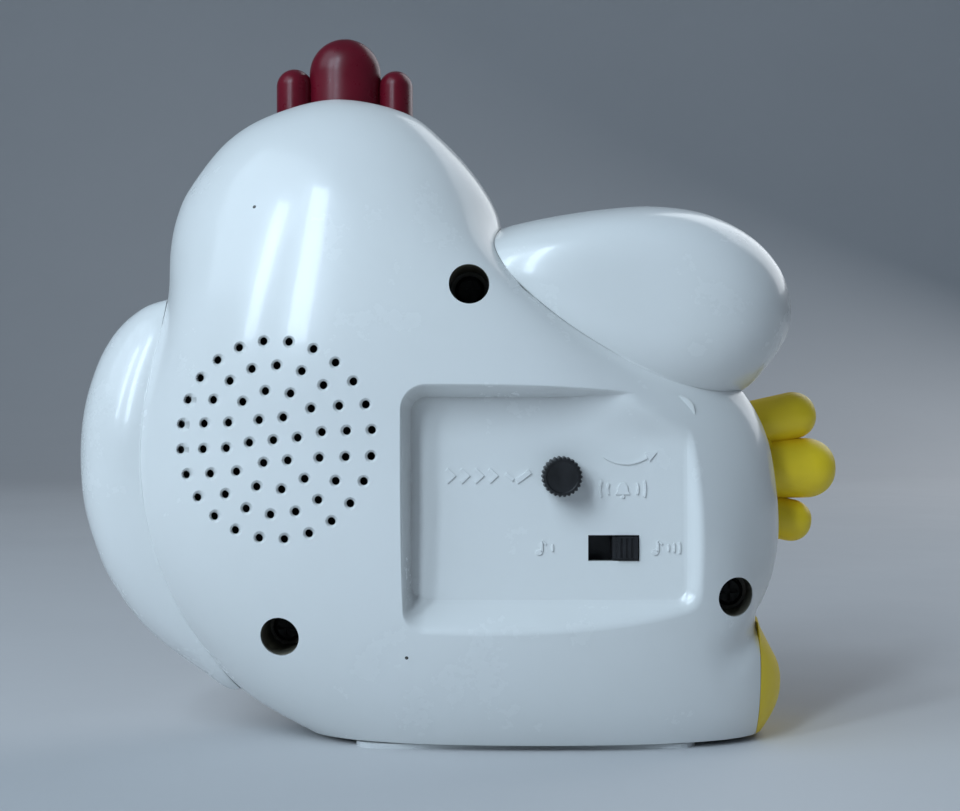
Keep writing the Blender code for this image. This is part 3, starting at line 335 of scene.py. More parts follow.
def body_surface(name, loop, depth, power, sign, rings, features=None, start=0.15, inner=False):
    """Polar sheet of a shell: returns vertex rows from the rim to the pole."""
    pole = np.array(BODY_CENTRE)
    rows = []
    reach = np.hypot(*(loop - pole).T) * 1.0008
    for k in range(rings):
        t = 1 - k / rings
        rho = math.sin(math.pi / 2 * t) ** (2.0 / power) if t > 0.62 else None
        if rho is None:
            edge = math.sin(math.pi / 2 * 0.62) ** (2.0 / power)
            rho = edge * t / 0.62
        q = ring_loop(loop, pole, rho)
        # no ring may cross the one outside it, also where the outline has a notch
        out = np.hypot(*(q - pole).T)
        reach = np.minimum(out, reach * 0.9992)
        q = pole + (q - pole) * (reach / np.maximum(out, 1e-9))[:, None]
        y = np.full(len(q), start + (depth - start) * math.sqrt(max(0.0, 1.0 - rho ** power)))
        if features:
            y = features(q[:, 0], q[:, 1], y)
        rows.append(np.column_stack([q[:, 0], sign * y, q[:, 1]]))
    pole_y = depth
    if features:
        pole_y = float(features(np.array([pole[0]]), np.array([pole[1]]), np.array([depth]))[0])
    return rows, (pole[0], sign * pole_y, pole[1])


def shell_object(name, outer, inner):
    """Closed shell from an outer and an inner polar sheet, joined at the rim."""
    rows_o, pole_o = outer
    rows_i, pole_i = inner
    n = len(rows_o[0])
    verts = np.vstack(rows_o + [np.array([pole_o])] + rows_i + [np.array([pole_i])])
    faces = grid_faces(len(rows_o), n)
    last = (len(rows_o) - 1) * n
    tip = len(rows_o) * n
    faces += fan(last, n, tip)
    base = tip + 1
    faces += grid_faces(len(rows_i), n, base)
    last = base + (len(rows_i) - 1) * n
    tip = base + len(rows_i) * n
    faces += fan(last, n, tip)
    faces += [(i, (i + 1) % n, base + (i + 1) % n, base + i) for i in range(n)]
    return new_mesh(name, verts, faces)


def dome_height(x, z):
    """Height of the uncut rear dome at one point."""
    origin = Vector(((x + SHIFT[0]) * MM, 0.3, z * MM))
    hit = REAR_TREE.ray_cast(origin, Vector((0, -1, 0)))
    return hit[0].y / MM - SHIFT[1] if hit[0] else 0.0


def cut_base(obj):
    """Everything ends level, just above the base pad."""
    return boolean(obj, block("c", -FAR, FAR, -FAR, FAR, -FAR, BASE_CUT))


def cut_leg_end(obj):
    """The end of the leg belongs to the yellow lower foot."""
    return boolean(obj, block("c", -FAR, LEG_SPLIT_X, -FAR, FAR, -FAR, FOOT_TOP_Z))


def tree_of(obj):
    graph = bpy.context.evaluated_depsgraph_get()
    return BVHTree.FromObject(obj, graph)


SEG = 560
RINGS = 150

body_loop = resample(BODY_OUTLINE, SEG)
inner_loop = offset_loop(body_loop, -WALL)


def leg_crease(x, z, y, share=0.75, lowest=0.15):
    """Soft valley that runs inwards from the notch between the body and the lower leg."""
    ax, az = -66.0, 27.4
    dx, dz = 0.80, -0.60
    along = (x - ax) * dx + (z - az) * dz
    across = (x - ax) * -dz + (z - az) * dx
    fade = np.clip(1.0 - along / 19.0, 0.0, 1.0)
    deep = 5.2 * fade ** 1.5 * np.exp(-(across / (1.8 + 0.16 * np.clip(along, 0, 30))) ** 2)
    return y - np.minimum(np.where(along > -4, deep, 0.0), share * (y - lowest))


def inner_crease(x, z, y):
    """The same valley on the hidden side of the wall."""
    return leg_crease(x, z, y, 0.9, -1.0)


outer = body_surface("o", body_loop, REAR_DEPTH, REAR_POWER, 1, RINGS, leg_crease)


inner = body_surface("i", inner_loop, REAR_DEPTH - WALL, REAR_POWER, 1, 40, inner_crease)
rear = shell_object("rear_cover_skin", outer, inner)
REAR_TREE = tree_of(rear)
cut_leg_end(rear)
cut_base(rear)

# ------------------------------------------------------------------ sunken control panel
WALL_SIDE = {"left": 0.19, "right": 1.25, "top": 0.26, "bottom": 0.85}


def panel_floor(x, z):
    """Height of the panel's floor, which sweeps up to the dome at its upper corner on the foot side."""
    along = min(max((-17.0 - x) / 24.0, 0.0), 1.0)
    up = min(max((z - 63.0) / 13.0, 0.0), 1.0)
    ease = along * along * (3 - 2 * along) * up * up * (3 - 2 * up)
    return FLOOR_Y + 4.6 * ease


def panel_outline(height, count):
    """Rounded rectangle of the wall at a height over the floor, as evenly numbered points."""
    x0, x1, z0, z1 = FLOOR_RECT
    x0 -= WALL_SIDE["right"] * height
    x1 += WALL_SIDE["left"] * height
    z0 -= WALL_SIDE["bottom"] * height
    z1 += WALL_SIDE["top"] * height
    r = 3.0 + 0.22 * height
    corners = [(x1 - r, z1 - r, 0), (x0 + r, z1 - r, 90), (x0 + r, z0 + r, 180), (x1 - r, z0 + r, 270)]
    arc = count // 12
    side = count // 4 - arc
    points = []
    for k, (cx, cz, start) in enumerate(corners):
        for i in range(arc):
            a = math.radians(start + 90 * i / arc)
            points.append((cx + r * math.cos(a), cz + r * math.sin(a)))
        nx, nz, nstart = corners[(k + 1) % 4]
        a0 = math.radians(start + 90)
        p0 = np.array((cx + r * math.cos(a0), cz + r * math.sin(a0)))
        a1 = math.radians(nstart)
        p1 = np.array((nx + r * math.cos(a1), nz + r * math.sin(a1)))
        for i in range(side):
            points.append(tuple(p0 + (p1 - p0) * i / side))
    return np.array(points)


def panel_rings(count, wall_steps):
    """Vertex rows of the tray from its rim on the dome, down the wall, to the middle of the floor."""
    levels = np.linspace(0.0, 14.0, 57)
    outlines = [panel_outline(h, count) for h in levels]
    blend = 1.5
    reach = np.zeros(count)
    for i in range(count):
        for h, line in zip(levels, outlines):
            reach[i] = h
            if FLOOR_Y + h > dome_height(*line[i]) + blend:
                break
    reach = np.maximum(reach, 1.5)
    least = reach.copy()
    for _ in range(6):
        reach = np.maximum(least, 0.25 * np.roll(reach, 1) + 0.5 * reach + 0.25 * np.roll(reach, -1))
    rows = []
    for k in range(wall_steps + 1):
        share = 1.0 - k / wall_steps
        row = []
        for i in range(count):
            h = reach[i] * share
            at = h / 0.25
            low = min(int(at), len(levels) - 2)
            x, z = outlines[low][i] + (outlines[low + 1][i] - outlines[low][i]) * (at - low)
            dome = dome_height(x, z)
            if k == 0:
                y = dome
            else:
                wall = float(smooth_max(np.array(panel_floor(x, z)), np.array(FLOOR_Y + h), 1.2))
                y = float(smooth_min(np.array(dome), np.array(wall), blend))
            row.append((x, y, z))
        rows.append(row)
    x0, x1, z0, z1 = FLOOR_RECT
    middle = np.array(((x0 + x1) / 2, (z0 + z1) / 2))
    base = panel_outline(0.0, count)
    for share in np.linspace(1.0, 0.0, 30)[1:-1]:
        row = []
        for p in base:
            x, z = middle + (p - middle) * share
            dome = dome_height(x, z)
            y = float(smooth_max(np.array(panel_floor(x, z)), np.array(FLOOR_Y), 1.2))
            row.append((x, float(smooth_min(np.array(dome), np.array(y), blend)), z))
        rows.append(row)
    return rows, (middle[0], FLOOR_Y + 0.3, middle[1])


PANEL_COUNT = 384
panel_rows, panel_mid = panel_rings(PANEL_COUNT, 44)
rim = np.array(panel_rows[0])
centre_xz = np.array((panel_mid[0], panel_mid[2]))
under = []
for drop, shrink in ((0.5, 0.03), (9.0, 0.4)):
    ring = []
    for x, y, z in rim:
        away = np.array((x, z)) - centre_xz
        away /= np.linalg.norm(away)
        ring.append((x - away[0] * shrink, max(y - drop, FLOOR_Y - 1.75), z - away[1] * shrink))
    under.append(ring)
n = PANEL_COUNT
rows = under[::-1] + panel_rows
verts = [tuple(v) for row in rows for v in row] + [tuple(panel_mid)]
faces = grid_faces(len(rows), n) + [tuple(range(n))]
last = (len(rows) - 1) * n
faces += fan(last, n, len(verts) - 1)
tray = new_mesh("tray", verts, faces)

# ------------------------------------------------------------------ drilled features of the rear cover
cutters = []


def drill(axis, surface, r, mouth, depth_cone, n=28):
    """Straight hole with a small countersink whose mouth sits at the local surface."""
    slope = (mouth - r) / depth_cone
    return turned("drill", axis, [(r, -2.0), (r, surface - depth_cone), (mouth + slope * 1.2, surface + 1.2),
                                  (mouth + slope * 1.2, 44.0)], n)


holes = [(0.0, 0.0)]
for ring, (count, phase) in enumerate([(6, 24.0), (12, 20.5), (18, 2.7), (24, 9.0)], start=1):
    for i in range(count):
        a = math.radians(phase + 360.0 * i / count)
        holes.append((-ring * GRILLE_PITCH * math.sin(a), ring * GRILLE_PITCH * math.cos(a)))
for hx, hz in holes:
    ax = (GRILLE[0] + hx, GRILLE[2] + hz)
    cutters.append(drill(ax, dome_height(*ax), 0.82, 1.28, 0.62, 28))
well_axes = [(w[0], w[2]) for w in WELLS]
for ax in well_axes:
    cutters.append(turned("drill", ax, [(4.1, 3.0), (4.1, 44.0)], 56))
sx0, sx1 = low_of("switch_body")[0] - SHIFT[0] + 2.5, high_of("switch_body")[0] - SHIFT[0] - 2.5
sz0, sz1 = low_of("switch_body")[2] + 2.0, high_of("switch_body")[2] - 2.0
boolean(tray, turned("drill", (KNOB[0], KNOB[2]), [(2.4, 15.0), (2.4, 30.0)], 40))
boolean(tray, block("drill", sx0, sx1, 20.0, 30.0, sz0, sz1))
drill_all = join(cutters[0], cutters[1:])
boolean(rear, drill_all)
boolean(rear, prism("c", [(x, z) for x, y, z in rim], 5.0, 60.0))
# battery opening
door_low = low_of("battery_door") - SHIFT
door_high = high_of("battery_door") - SHIFT
boolean(rear, block("c", door_low[0] - 0.4, door_high[0] + 0.4, -20, door_high[1] + 0.4, -5, 8))

tubes = []
for ax in well_axes:
    n = 56
    top_out = [dome_height(ax[0] + 5.2 * math.cos(a), ax[1] + 5.2 * math.sin(a)) - 1.2
               for a in np.linspace(0, 2 * math.pi, n, endpoint=False)]
    top_in = [dome_height(ax[0] + 4.12 * math.cos(a), ax[1] + 4.12 * math.sin(a)) - 1.0
              for a in np.linspace(0, 2 * math.pi, n, endpoint=False)]
    rows = []
    for r, tops, y in ((4.08, None, 5.4), (5.2, None, 5.4), (5.2, top_out, 0), (4.08, top_in, 0),
                       (4.08, None, 8.0), (1.8, None, 8.0), (1.8, None, 5.4)):
        ring = []
        for i, a in enumerate(np.linspace(0, 2 * math.pi, n, endpoint=False)):
            ring.append((ax[0] + r * math.cos(a), tops[i] if tops else y, ax[1] + r * math.sin(a)))
        rows.append(ring)
    verts = [v for ring in rows for v in ring]
    faces = grid_faces(len(rows), n)
    last = (len(rows) - 1) * n
    faces += [(last + i, last + (i + 1) % n, (i + 1) % n, i) for i in range(n)]
    tubes.append(new_mesh("tube", verts, faces))
rear_cover = join(rear, [tray])
well_tubes = join(tubes[0], tubes[1:])
well_tubes.name = "well_tubes"
soften(well_tubes)
rear_cover.name = "rear_cover_skin"
soften(rear_cover)

# ------------------------------------------------------------------ front shell
front_loop = resample(BODY_OUTLINE, 300)
f_outer = body_surface("o", front_loop, FRONT_DEPTH, FRONT_POWER, -1, 64)
f_inner = body_surface("i", offset_loop(front_loop, -WALL), FRONT_DEPTH - WALL, FRONT_POWER, -1, 24)
front_shell = shell_object("front_shell_skin", f_outer, f_inner)
boolean(front_shell, turned("boss", DIAL_XZ, [(40.5, -20.5), (40.5, -29.7), (40.2, -30.0), (1.0, -30.0),
                                              (1.0, -20.5)], 96), "UNION")
boolean(front_shell, turned("c", DIAL_XZ, [(36.8, -50.0), (36.8, -10.0)], 96))
COMB_LOBES = [(38.35, 4.05, 5.0, 147.5), (27.0, 8.0, 6.4, 154.3), (15.6, 3.8, 5.0, 147.1)]
for cx, rx, ry, top in COMB_LOBES:
    pts = circle(1.0, 40)
    ring0 = [(cx + (rx + 0.35) * p[0], COMB_C[1] + (ry + 0.35) * p[1], 125.0) for p in pts]
    ring1 = [(p[0], p[1], 165.0) for p in ring0]
    faces = grid_faces(2, 40) + end_caps(2, 40)
    boolean(front_shell, new_mesh("c", ring0 + ring1, faces))
boolean(front_shell, block("c", door_low[0] - 0.4, door_high[0] + 0.4, door_low[1] - 0.4, 20, -5, 8))
cut_base(front_shell)
cut_leg_end(front_shell)
soften(front_shell)


# ------------------------------------------------------------------ wings
def pillow(name, outline, centre, mid_y, rear_h, front_h, power, count, rings):
    loop = resample(outline, count)
    pole = np.array(centre)
    rows = []
    for k in range(1, 2 * rings):
        phi = math.pi * k / (2 * rings)
        height = rear_h if phi < math.pi / 2 else front_h
        rho = math.sin(phi) ** (2.0 / power)
        q = ring_loop(loop, pole, rho)
        rows.append(np.column_stack([q[:, 0], np.full(len(q), mid_y + height * math.cos(phi)), q[:, 1]]))
    verts = np.vstack([np.array([[pole[0], mid_y + rear_h, pole[1]]])] + rows
                      + [np.array([[pole[0], mid_y - front_h, pole[1]]])])
    faces = grid_faces(len(rows), count, 1)
    faces += [(0, 1 + (i + 1) % count, 1 + i) for i in range(count)]
    last = 1 + (len(rows) - 1) * count
    faces += fan(last, count, len(verts) - 1)
    return new_mesh(name, verts, faces)


def envelope(gap):
    loop = offset_loop(resample(BODY_OUTLINE, 260), gap)
    pole = np.array(BODY_CENTRE)
    rows = []
    rings = 40
    for k in range(1, 2 * rings):
        phi = math.pi * k / (2 * rings)
        back = phi < math.pi / 2
        power = REAR_POWER if back else FRONT_POWER
        depth = (REAR_DEPTH if back else FRONT_DEPTH) + gap
        q = ring_loop(loop, pole, math.sin(phi) ** (2.0 / power))
        rows.append(np.column_stack([q[:, 0], np.full(len(q), depth * math.cos(phi)), q[:, 1]]))
    n = len(loop)
    verts = np.vstack([np.array([[pole[0], REAR_DEPTH + gap, pole[1]]])] + rows
                      + [np.array([[pole[0], -FRONT_DEPTH - gap, pole[1]]])])
    faces = grid_faces(len(rows), n, 1)
    faces += [(0, 1 + (i + 1) % n, 1 + i) for i in range(n)]
    last = 1 + (len(rows) - 1) * n
    faces += fan(last, n, len(verts) - 1)
    return new_mesh("envelope", verts, faces)


wing_left = pillow("left_wing_skin", LEFT_WING, (70.0, 58.0), 2.0, 14.5, 19.0, 2.6, 220, 48)
wing_right = pillow("right_wing_skin", RIGHT_WING, (-37.0, 96.5), 2.0, 24.3, 19.0, 3.8, 240, 60)


def seam_lip(name, wing, span, radius=0.26):
    """Thin moulded lip where the rear cover meets a wing; span is the range of outline shares."""
    tree = tree_of(wing)
    loop = resample(BODY_OUTLINE, 400)
    pole = np.array(BODY_CENTRE)
    shares = np.linspace(0.80, 0.999, 80)
    rings = [ring_loop(loop, pole, s) for s in shares]
    points = []
    for i in range(span[0], span[1]):
        i = i % 400
        found = None
        for s, ring in zip(shares, rings):
            x, z = ring[i]
            y = 0.15 + (REAR_DEPTH - 0.15) * math.sqrt(max(0.0, 1 - s ** REAR_POWER))
            hit = tree.ray_cast(Vector(((x + SHIFT[0]) * MM, 0.3, z * MM)), Vector((0, -1, 0)))
            if hit[0] and hit[0].y / MM - SHIFT[1] > y:
                found = (x, y, z)
                break
        if found:
            points.append(found)
    if len(points) < 8:
        return None
    pts = np.array(points)
    for _ in range(6):
        pts[1:-1] = 0.25 * pts[:-2] + 0.5 * pts[1:-1] + 0.25 * pts[2:]
    ends = [min(1.0, 0.15 + k / 6.0, 0.15 + (len(pts) - 1 - k) / 6.0) for k in range(len(pts))]
    return tube_along(name, pts, [radius * share for share in ends], (0, 1, 0))


lip_left = seam_lip("seam_lip_left", wing_left, (300, 400 + 4))
lip_right = seam_lip("seam_lip_right", wing_right, (100, 190))
boolean(wing_left, envelope(0.12))
boolean(wing_right, envelope(0.12))


# ------------------------------------------------------------------ comb, feet, face
def comb_piece():
    parts = []
    n = 64
    for cx, rx, ry, top in COMB_LOBES:
        rows = []
        for k in range(2):
            rows.append([(cx + rx * math.cos(a), COMB_C[1] + ry * math.sin(a), 127.0 + k * (top - rx - 127.0))
                         for a in np.linspace(0, 2 * math.pi, n, endpoint=False)])
        for k in range(1, 24):
            t = math.pi / 2 * k / 24
            rows.append([(cx + rx * math.cos(t) * math.cos(a), COMB_C[1] + ry * math.cos(t) * math.sin(a),
                          top - rx + rx * math.sin(t))
                         for a in np.linspace(0, 2 * math.pi, n, endpoint=False)])
        verts = [v for ring in rows for v in ring] + [(cx, COMB_C[1], top)]
        faces = grid_faces(len(rows), n) + [tuple(range(n))]
        last = (len(rows) - 1) * n
        faces += fan(last, n, len(verts) - 1)
        parts.append(new_mesh("lobe", verts, faces))
    low, high = low_of("comb") - SHIFT, high_of("comb") - SHIFT
    parts.append(block("flange", low[0], high[0], COMB_C[1] - 3.5, COMB_C[1] + 3.5, 125.3, 127.3))
    stem = [(27.0 + p[0], COMB_C[1] + p[1], z) for z in (low[2], 127.0) for p in circle(2.0, 32)]
    parts.append(new_mesh("stem", stem, grid_faces(2, 32) + end_caps(2, 32)))
    whole = parts[0]
    for other in parts[1:]:
        boolean(whole, other, "UNION")
    whole.name = "comb_skin"
    return whole


comb = comb_piece()
# a small fillet where the lobes meet each other
comb_mod = comb.modifiers.new("fillet", "BEVEL")
comb_mod.width = 0.5 * MM
comb_mod.segments = 3
comb_mod.limit_method = "ANGLE"
comb_mod.angle_limit = math.radians(38)

TOE_Y = -10.0
TOES = [
    # root (x, z), tip (x, z), radius
    ((-60.0, 66.6), (-73.9, 69.7), 5.35),
    ((-60.0, 57.6), (-76.9, 57.9), 6.75),
    ((-62.0, 48.5), (-73.5, 46.1), 4.75),
]


def toe_piece(start, end, r, n=56, caps=16):
    a = np.array((start[0], TOE_Y, start[1]), float)
    b = np.array((end[0], TOE_Y, end[1]), float)
    along = (b - a) / np.linalg.norm(b - a)
    side = np.array((-along[2], 0.0, along[0]))
    depth = np.array((0.0, 1.0, 0.0))
    rows = []
    for k in range(caps):
        t = math.pi / 2 * (1 - k / caps)
        rows.append((a - along * r * math.sin(t), r * math.cos(t) + 1e-3))
    for k in range(0, 9):
        rows.append((a + (b - a) * k / 8, r))
    for k in range(1, caps):
        t = math.pi / 2 * k / caps
        # blunt end: fuller than a half ball
        rows.append((b + along * r * math.sin(t), r * math.cos(t) ** 0.86))
    verts = []
    for c, radius in rows:
        for q in np.linspace(0, 2 * math.pi, n, endpoint=False):
            verts.append(tuple(c + side * radius * math.cos(q) + depth * radius * math.sin(q)))
    verts.append(tuple(b + along * r))
    faces = grid_faces(len(rows), n) + [tuple(range(n))]
    last = (len(rows) - 1) * n
    faces += fan(last, n, len(verts) - 1)
    return new_mesh("toe", verts, faces)


def ellipsoid(name, centre, semi, n=64, m=32):
    verts = [(centre[0], centre[1], centre[2] - semi[2])]
    for k in range(1, m):
        phi = -math.pi / 2 + math.pi * k / m
        for i in range(n):
            a = 2 * math.pi * i / n
            verts.append((centre[0] + semi[0] * math.cos(phi) * math.cos(a),
                          centre[1] + semi[1] * math.cos(phi) * math.sin(a),
                          centre[2] + semi[2] * math.sin(phi)))
    verts.append((centre[0], centre[1], centre[2] + semi[2]))
    faces = grid_faces(m - 1, n, 1)
    faces += [(0, 1 + (i + 1) % n, 1 + i) for i in range(n)]
    last = 1 + (m - 2) * n
    faces += fan(last, n, len(verts) - 1)
    return new_mesh(name, verts, faces)


upper_foot = toe_piece(*TOES[0])
for toe in TOES[1:]:
    boolean(upper_foot, toe_piece(*toe), "UNION")
boolean(upper_foot, ellipsoid("palm", (-64.0, TOE_Y, 58.0), (6.5, 7.2, 12.0)), "UNION")
boolean(upper_foot, envelope(0.15))
upper_foot.name = "upper_foot_skin"

lower_foot = envelope(0.0)
lower_foot.name = "lower_foot_skin"
boolean(lower_foot, block("c", -FAR, FAR, -FAR, FAR, FOOT_TOP_Z - 0.05, FAR))
for toe_z, reach, big in ((20.4, -17.0, 4.7), (13.6, -21.0, 5.0), (6.9, -17.0, 4.4)):
    boolean(lower_foot, ellipsoid("toe", (-58.5, reach, toe_z), (8.8, 10.0, big), 48, 24), "UNION")
boolean(lower_foot, block("c", LEG_SPLIT_X - 0.12, FAR, -FAR, FAR, -FAR, FAR))
cut_base(lower_foot)

face_pieces = {}
for node, r in (("eye_left", 3.4), ("eye_right", 3.4)):
    c = centre_of(node) - SHIFT
    low = low_of(node) - SHIFT
    eye = ellipsoid(node + "_skin", (c[0], low[1] + 2.6, c[2]), (r, 2.6, r), 64, 32)
    boolean(eye, envelope(SEAT))
    face_pieces[node] = eye
low, high = low_of("beak") - SHIFT, high_of("beak") - SHIFT
bx, bz = (low[0] + high[0]) / 2, 109.0
beak_rows = []
beak_y = low[1] + 12.0
n = 64
for k in range(28):
    share = -0.3 + 1.3 * k / 27
    s = max(0.0, share)
    scale = (1.0 - s ** 1.7) ** 0.62 if s < 1 else 0.0
    scale = max(scale, 0.03)
    ring = []
    for p in circle(1.0, n):
        px = math.copysign(abs(p[0]) ** 0.9, p[0])
        pz = p[1]
        ring.append((bx + 6.1 * px * scale, beak_y - 12.0 * share, bz + 4.5 * pz * scale - 2.2 * s * s))
    beak_rows.append(ring)
beak = new_mesh("beak_skin", [v for ring in beak_rows for v in ring],
                grid_faces(28, n) + end_caps(28, n))
boolean(beak, envelope(SEAT))
c = centre_of("wattle") - SHIFT
low = low_of("wattle") - SHIFT
wattle = ellipsoid("wattle_skin", (c[0] - 1.9, low[1] + 2.8, c[2]), (2.6, 2.8, 4.3), 56, 28)
boolean(wattle, ellipsoid("w2", (c[0] + 1.9, low[1] + 2.8, c[2]), (2.6, 2.8, 4.3), 56, 28), "UNION")
boolean(wattle, envelope(SEAT))

# ------------------------------------------------------------------ knob, switch and panel marks
kx, kz = KNOB[0], KNOB[2]
k_low, k_high = low_of("setting_knob")[1] - SHIFT[1], high_of("setting_knob")[1] - SHIFT[1]
RIDGES = 26


def knurl_ring(r_out, r_in, count=RIDGES, per=8):
    pts = []
    for i in range(count):
        for j in range(per):
            t = j / per
            wave = 0.5 + 0.5 * math.cos(2 * math.pi * t)
            r = r_in + (r_out - r_in) * wave ** 0.7
            a = 2 * math.pi * (i + t) / count
            pts.append((kx + r * math.cos(a), kz + r * math.sin(a)))
    return pts


knob_rows = [(3.7, 3.5, k_low), (4.15, 3.82, k_low + 0.5), (4.15, 3.82, k_high - 0.95),
             (3.95, 3.72, k_high - 0.55), (3.6, 3.52, k_high - 0.3), (3.3, 3.3, k_high - 0.28),
             (3.1, 3.1, k_high - 0.45), (2.2, 2.2, k_high - 0.5), (0.02, 0.02, k_high - 0.5)]
verts = []
for r_out, r_in, y in knob_rows:
    verts += [(x, y, z) for x, z in knurl_ring(r_out, r_in)]
kn = RIDGES * 8
setting_knob = new_mesh("setting_knob_skin", verts, grid_faces(len(knob_rows), kn)
                        + end_caps(len(knob_rows), kn),
                        angle=28)
sl, sh = low_of("switch_slider") - SHIFT, high_of("switch_slider") - SHIFT
slider = block("switch_slider_skin", sl[0], sh[0], sl[1], sh[1] - 0.3, sl[2], sh[2])
for k in range(4):
    gx = sl[0] + 0.95 + 1.1 * k
    boolean(slider, block("c", gx, gx + 0.45, sh[1] - 0.75, sh[1] + 1, sl[2] + 0.35, sh[2] - 0.35))
boolean(slider, prism("c", [(sh[0] - 0.9, sl[2] - 1), (sh[0] + 1, sl[2] - 1), (sh[0] + 1, sh[2] + 1),
                            (sh[0] - 0.9, sh[2] + 1)], sh[1] - 0.9, sh[1] + 1))
add_bevel(slider, 0.12)


FLOOR_LOW = FLOOR_Y - 0.2      # the marks grow out of the panel's floor
MARK_TOP = FLOOR_Y + 0.64
marks = []


def stamp(points, at=(0.0, 0.0)):
    """Low raised patch on the panel's floor."""
    placed = [(at[0] + p[0], at[1] + p[1]) for p in points]
    marks.append(prism("mark", placed, FLOOR_LOW, MARK_TOP, chamfer=0.08))


def stroke(points, width, taper=False):
    """Low raised line through XZ points."""
    pts = np.array(points, float)
    left, right = [], []
    for k in range(len(pts)):
        t = pts[min(k + 1, len(pts) - 1)] - pts[max(k - 1, 0)]
        t /= np.linalg.norm(t)
        nrm = np.array((-t[1], t[0]))
        w = width / 2 * ((0.35 + 0.65 * k / (len(pts) - 1)) if taper else 1.0)
        left.append(pts[k] + nrm * w)
        right.append(pts[k] - nrm * w)
    stamp(left + right[::-1])


# chevrons and a pair of clock hands on the head's side of the knob: pull out and set the hands
for k in range(4):
    cx = 2.6 - 2.9 * k
    stroke([(cx + 0.9, 59.0), (cx - 0.7, 57.6), (cx + 0.9, 56.2)], 0.62)
stroke([(-8.6, 58.0), (-10.2, 56.7)], 0.75)
stroke([(-10.7, 56.4), (-12.2, 57.4), (-13.6, 58.5)], 1.05)
# curved turning arrow and a ringing bell on the knob's other side
arc = [(-28.6 - 9.0 * s, 61.4 - 5.6 * s * (1 - s)) for s in np.linspace(0, 1, 18)]
stroke(arc, 0.5, taper=True)
stamp([(-1.9, 0.9), (0.5, 1.0), (-0.5, -0.9)], arc[-1])
BELL_AT = (-32.6, 54.9)
stamp([(-1.55, -1.2), (1.55, -1.2), (1.15, -0.5), (0.95, 0.7), (0.45, 1.25), (-0.45, 1.25), (-0.95, 0.7),
       (-1.15, -0.5)], BELL_AT)
stamp(circle(0.42, 16), (BELL_AT[0], BELL_AT[1] - 1.6))
for side in (-1, 1):
    for step, reach in ((2.6, 1.3), (4.1, 1.9)):
        stroke([(BELL_AT[0] + side * (step + 0.55 * math.cos(t)), BELL_AT[1] + reach * math.sin(t))
                for t in np.linspace(-1.1, 1.1, 10)], 0.42)
# a note with one wave, and a note with three waves, either side of the switch
for base_x, waves in ((-15.4, 1), (-39.2, 3)):
    stamp(circle(0.75, 20) * (1.0, 0.8), (base_x, 41.9))
    stroke([(base_x - 0.62, 41.9), (base_x - 0.62, 44.2)], 0.34)
    stroke([(base_x - 0.62, 44.2), (base_x - 1.5, 43.5)], 0.42)
    for k in range(waves):
        wx = base_x - 2.6 - 1.15 * k
        stroke([(wx - 0.25 * math.cos(t), 42.8 + (0.8 + 0.25 * k) * math.sin(t))
                for t in np.linspace(-1.2, 1.2, 9)], 0.36)
panel_marks = join(marks[0], marks[1:])
panel_marks.name = "panel_marks"
soften(panel_marks, 30)

# ------------------------------------------------------------------ dial side
BEZEL_PROFILE = [(34.4, -26.4), (34.4, -28.2), (34.4, -30.4), (34.7, -31.1), (35.5, -31.8), (36.8, -32.25),
                 (38.0, -32.4), (39.0, -32.2), (39.8, -31.5), (40.2, -30.4), (40.2, -26.4)]
bezel = turned("bezel_skin", DIAL_XZ, BEZEL_PROFILE, 160, closed=True, angle=30)
print_parts = []
dial_y = low_of("dial")[1] - SHIFT[1]
for k in range(60):
    a = math.radians(6 * k)
    r0, half = (30.4, 0.55) if k % 5 == 0 else (32.0, 0.22)
    quad = []
    for r, s in ((r0, -half), (33.6, -half), (33.6, half), (r0, half)):
        quad.append((DIAL_XZ[0] + r * math.sin(a) + s * math.cos(a),
                     DIAL_XZ[1] + r * math.cos(a) - s * math.sin(a)))
    print_parts.append(prism("tick", quad, dial_y - 0.06, dial_y + 0.3))


def numeral(text, x, z, size):
    curve = bpy.data.curves.new("numeral", "FONT")
    curve.body = text
    curve.size = size * MM
    curve.align_x = "CENTER"
    curve.align_y = "CENTER"
    curve.extrude = 0.03 * MM
    curve.offset = 0.012 * size * MM
    obj = bpy.data.objects.new("numeral", curve)
    bpy.context.scene.collection.objects.link(obj)
    graph = bpy.context.evaluated_depsgraph_get()
    mesh = bpy.data.meshes.new_from_object(obj.evaluated_get(graph))
    bpy.data.objects.remove(obj, do_unlink=True)
    made = bpy.data.objects.new("numeral", mesh)
    bpy.context.scene.collection.objects.link(made)
    for v in mesh.vertices:
        px, pz, py = v.co.x, v.co.y, v.co.z
        v.co = (px + (x + SHIFT[0]) * MM, -py + (dial_y - 0.03 + SHIFT[1]) * MM, pz + z * MM)
    return made


NUMERAL_R = 25.6
NUMERAL_SIZE = 7.6
for hour in range(1, 13):
    a = math.radians(30 * hour)
    print_parts.append(numeral(str(hour), DIAL_XZ[0] + NUMERAL_R * math.sin(a),
                               DIAL_XZ[1] + NUMERAL_R * math.cos(a), NUMERAL_SIZE))
dial_print = join(print_parts[0], print_parts[1:])
dial_print.name = "dial_print"

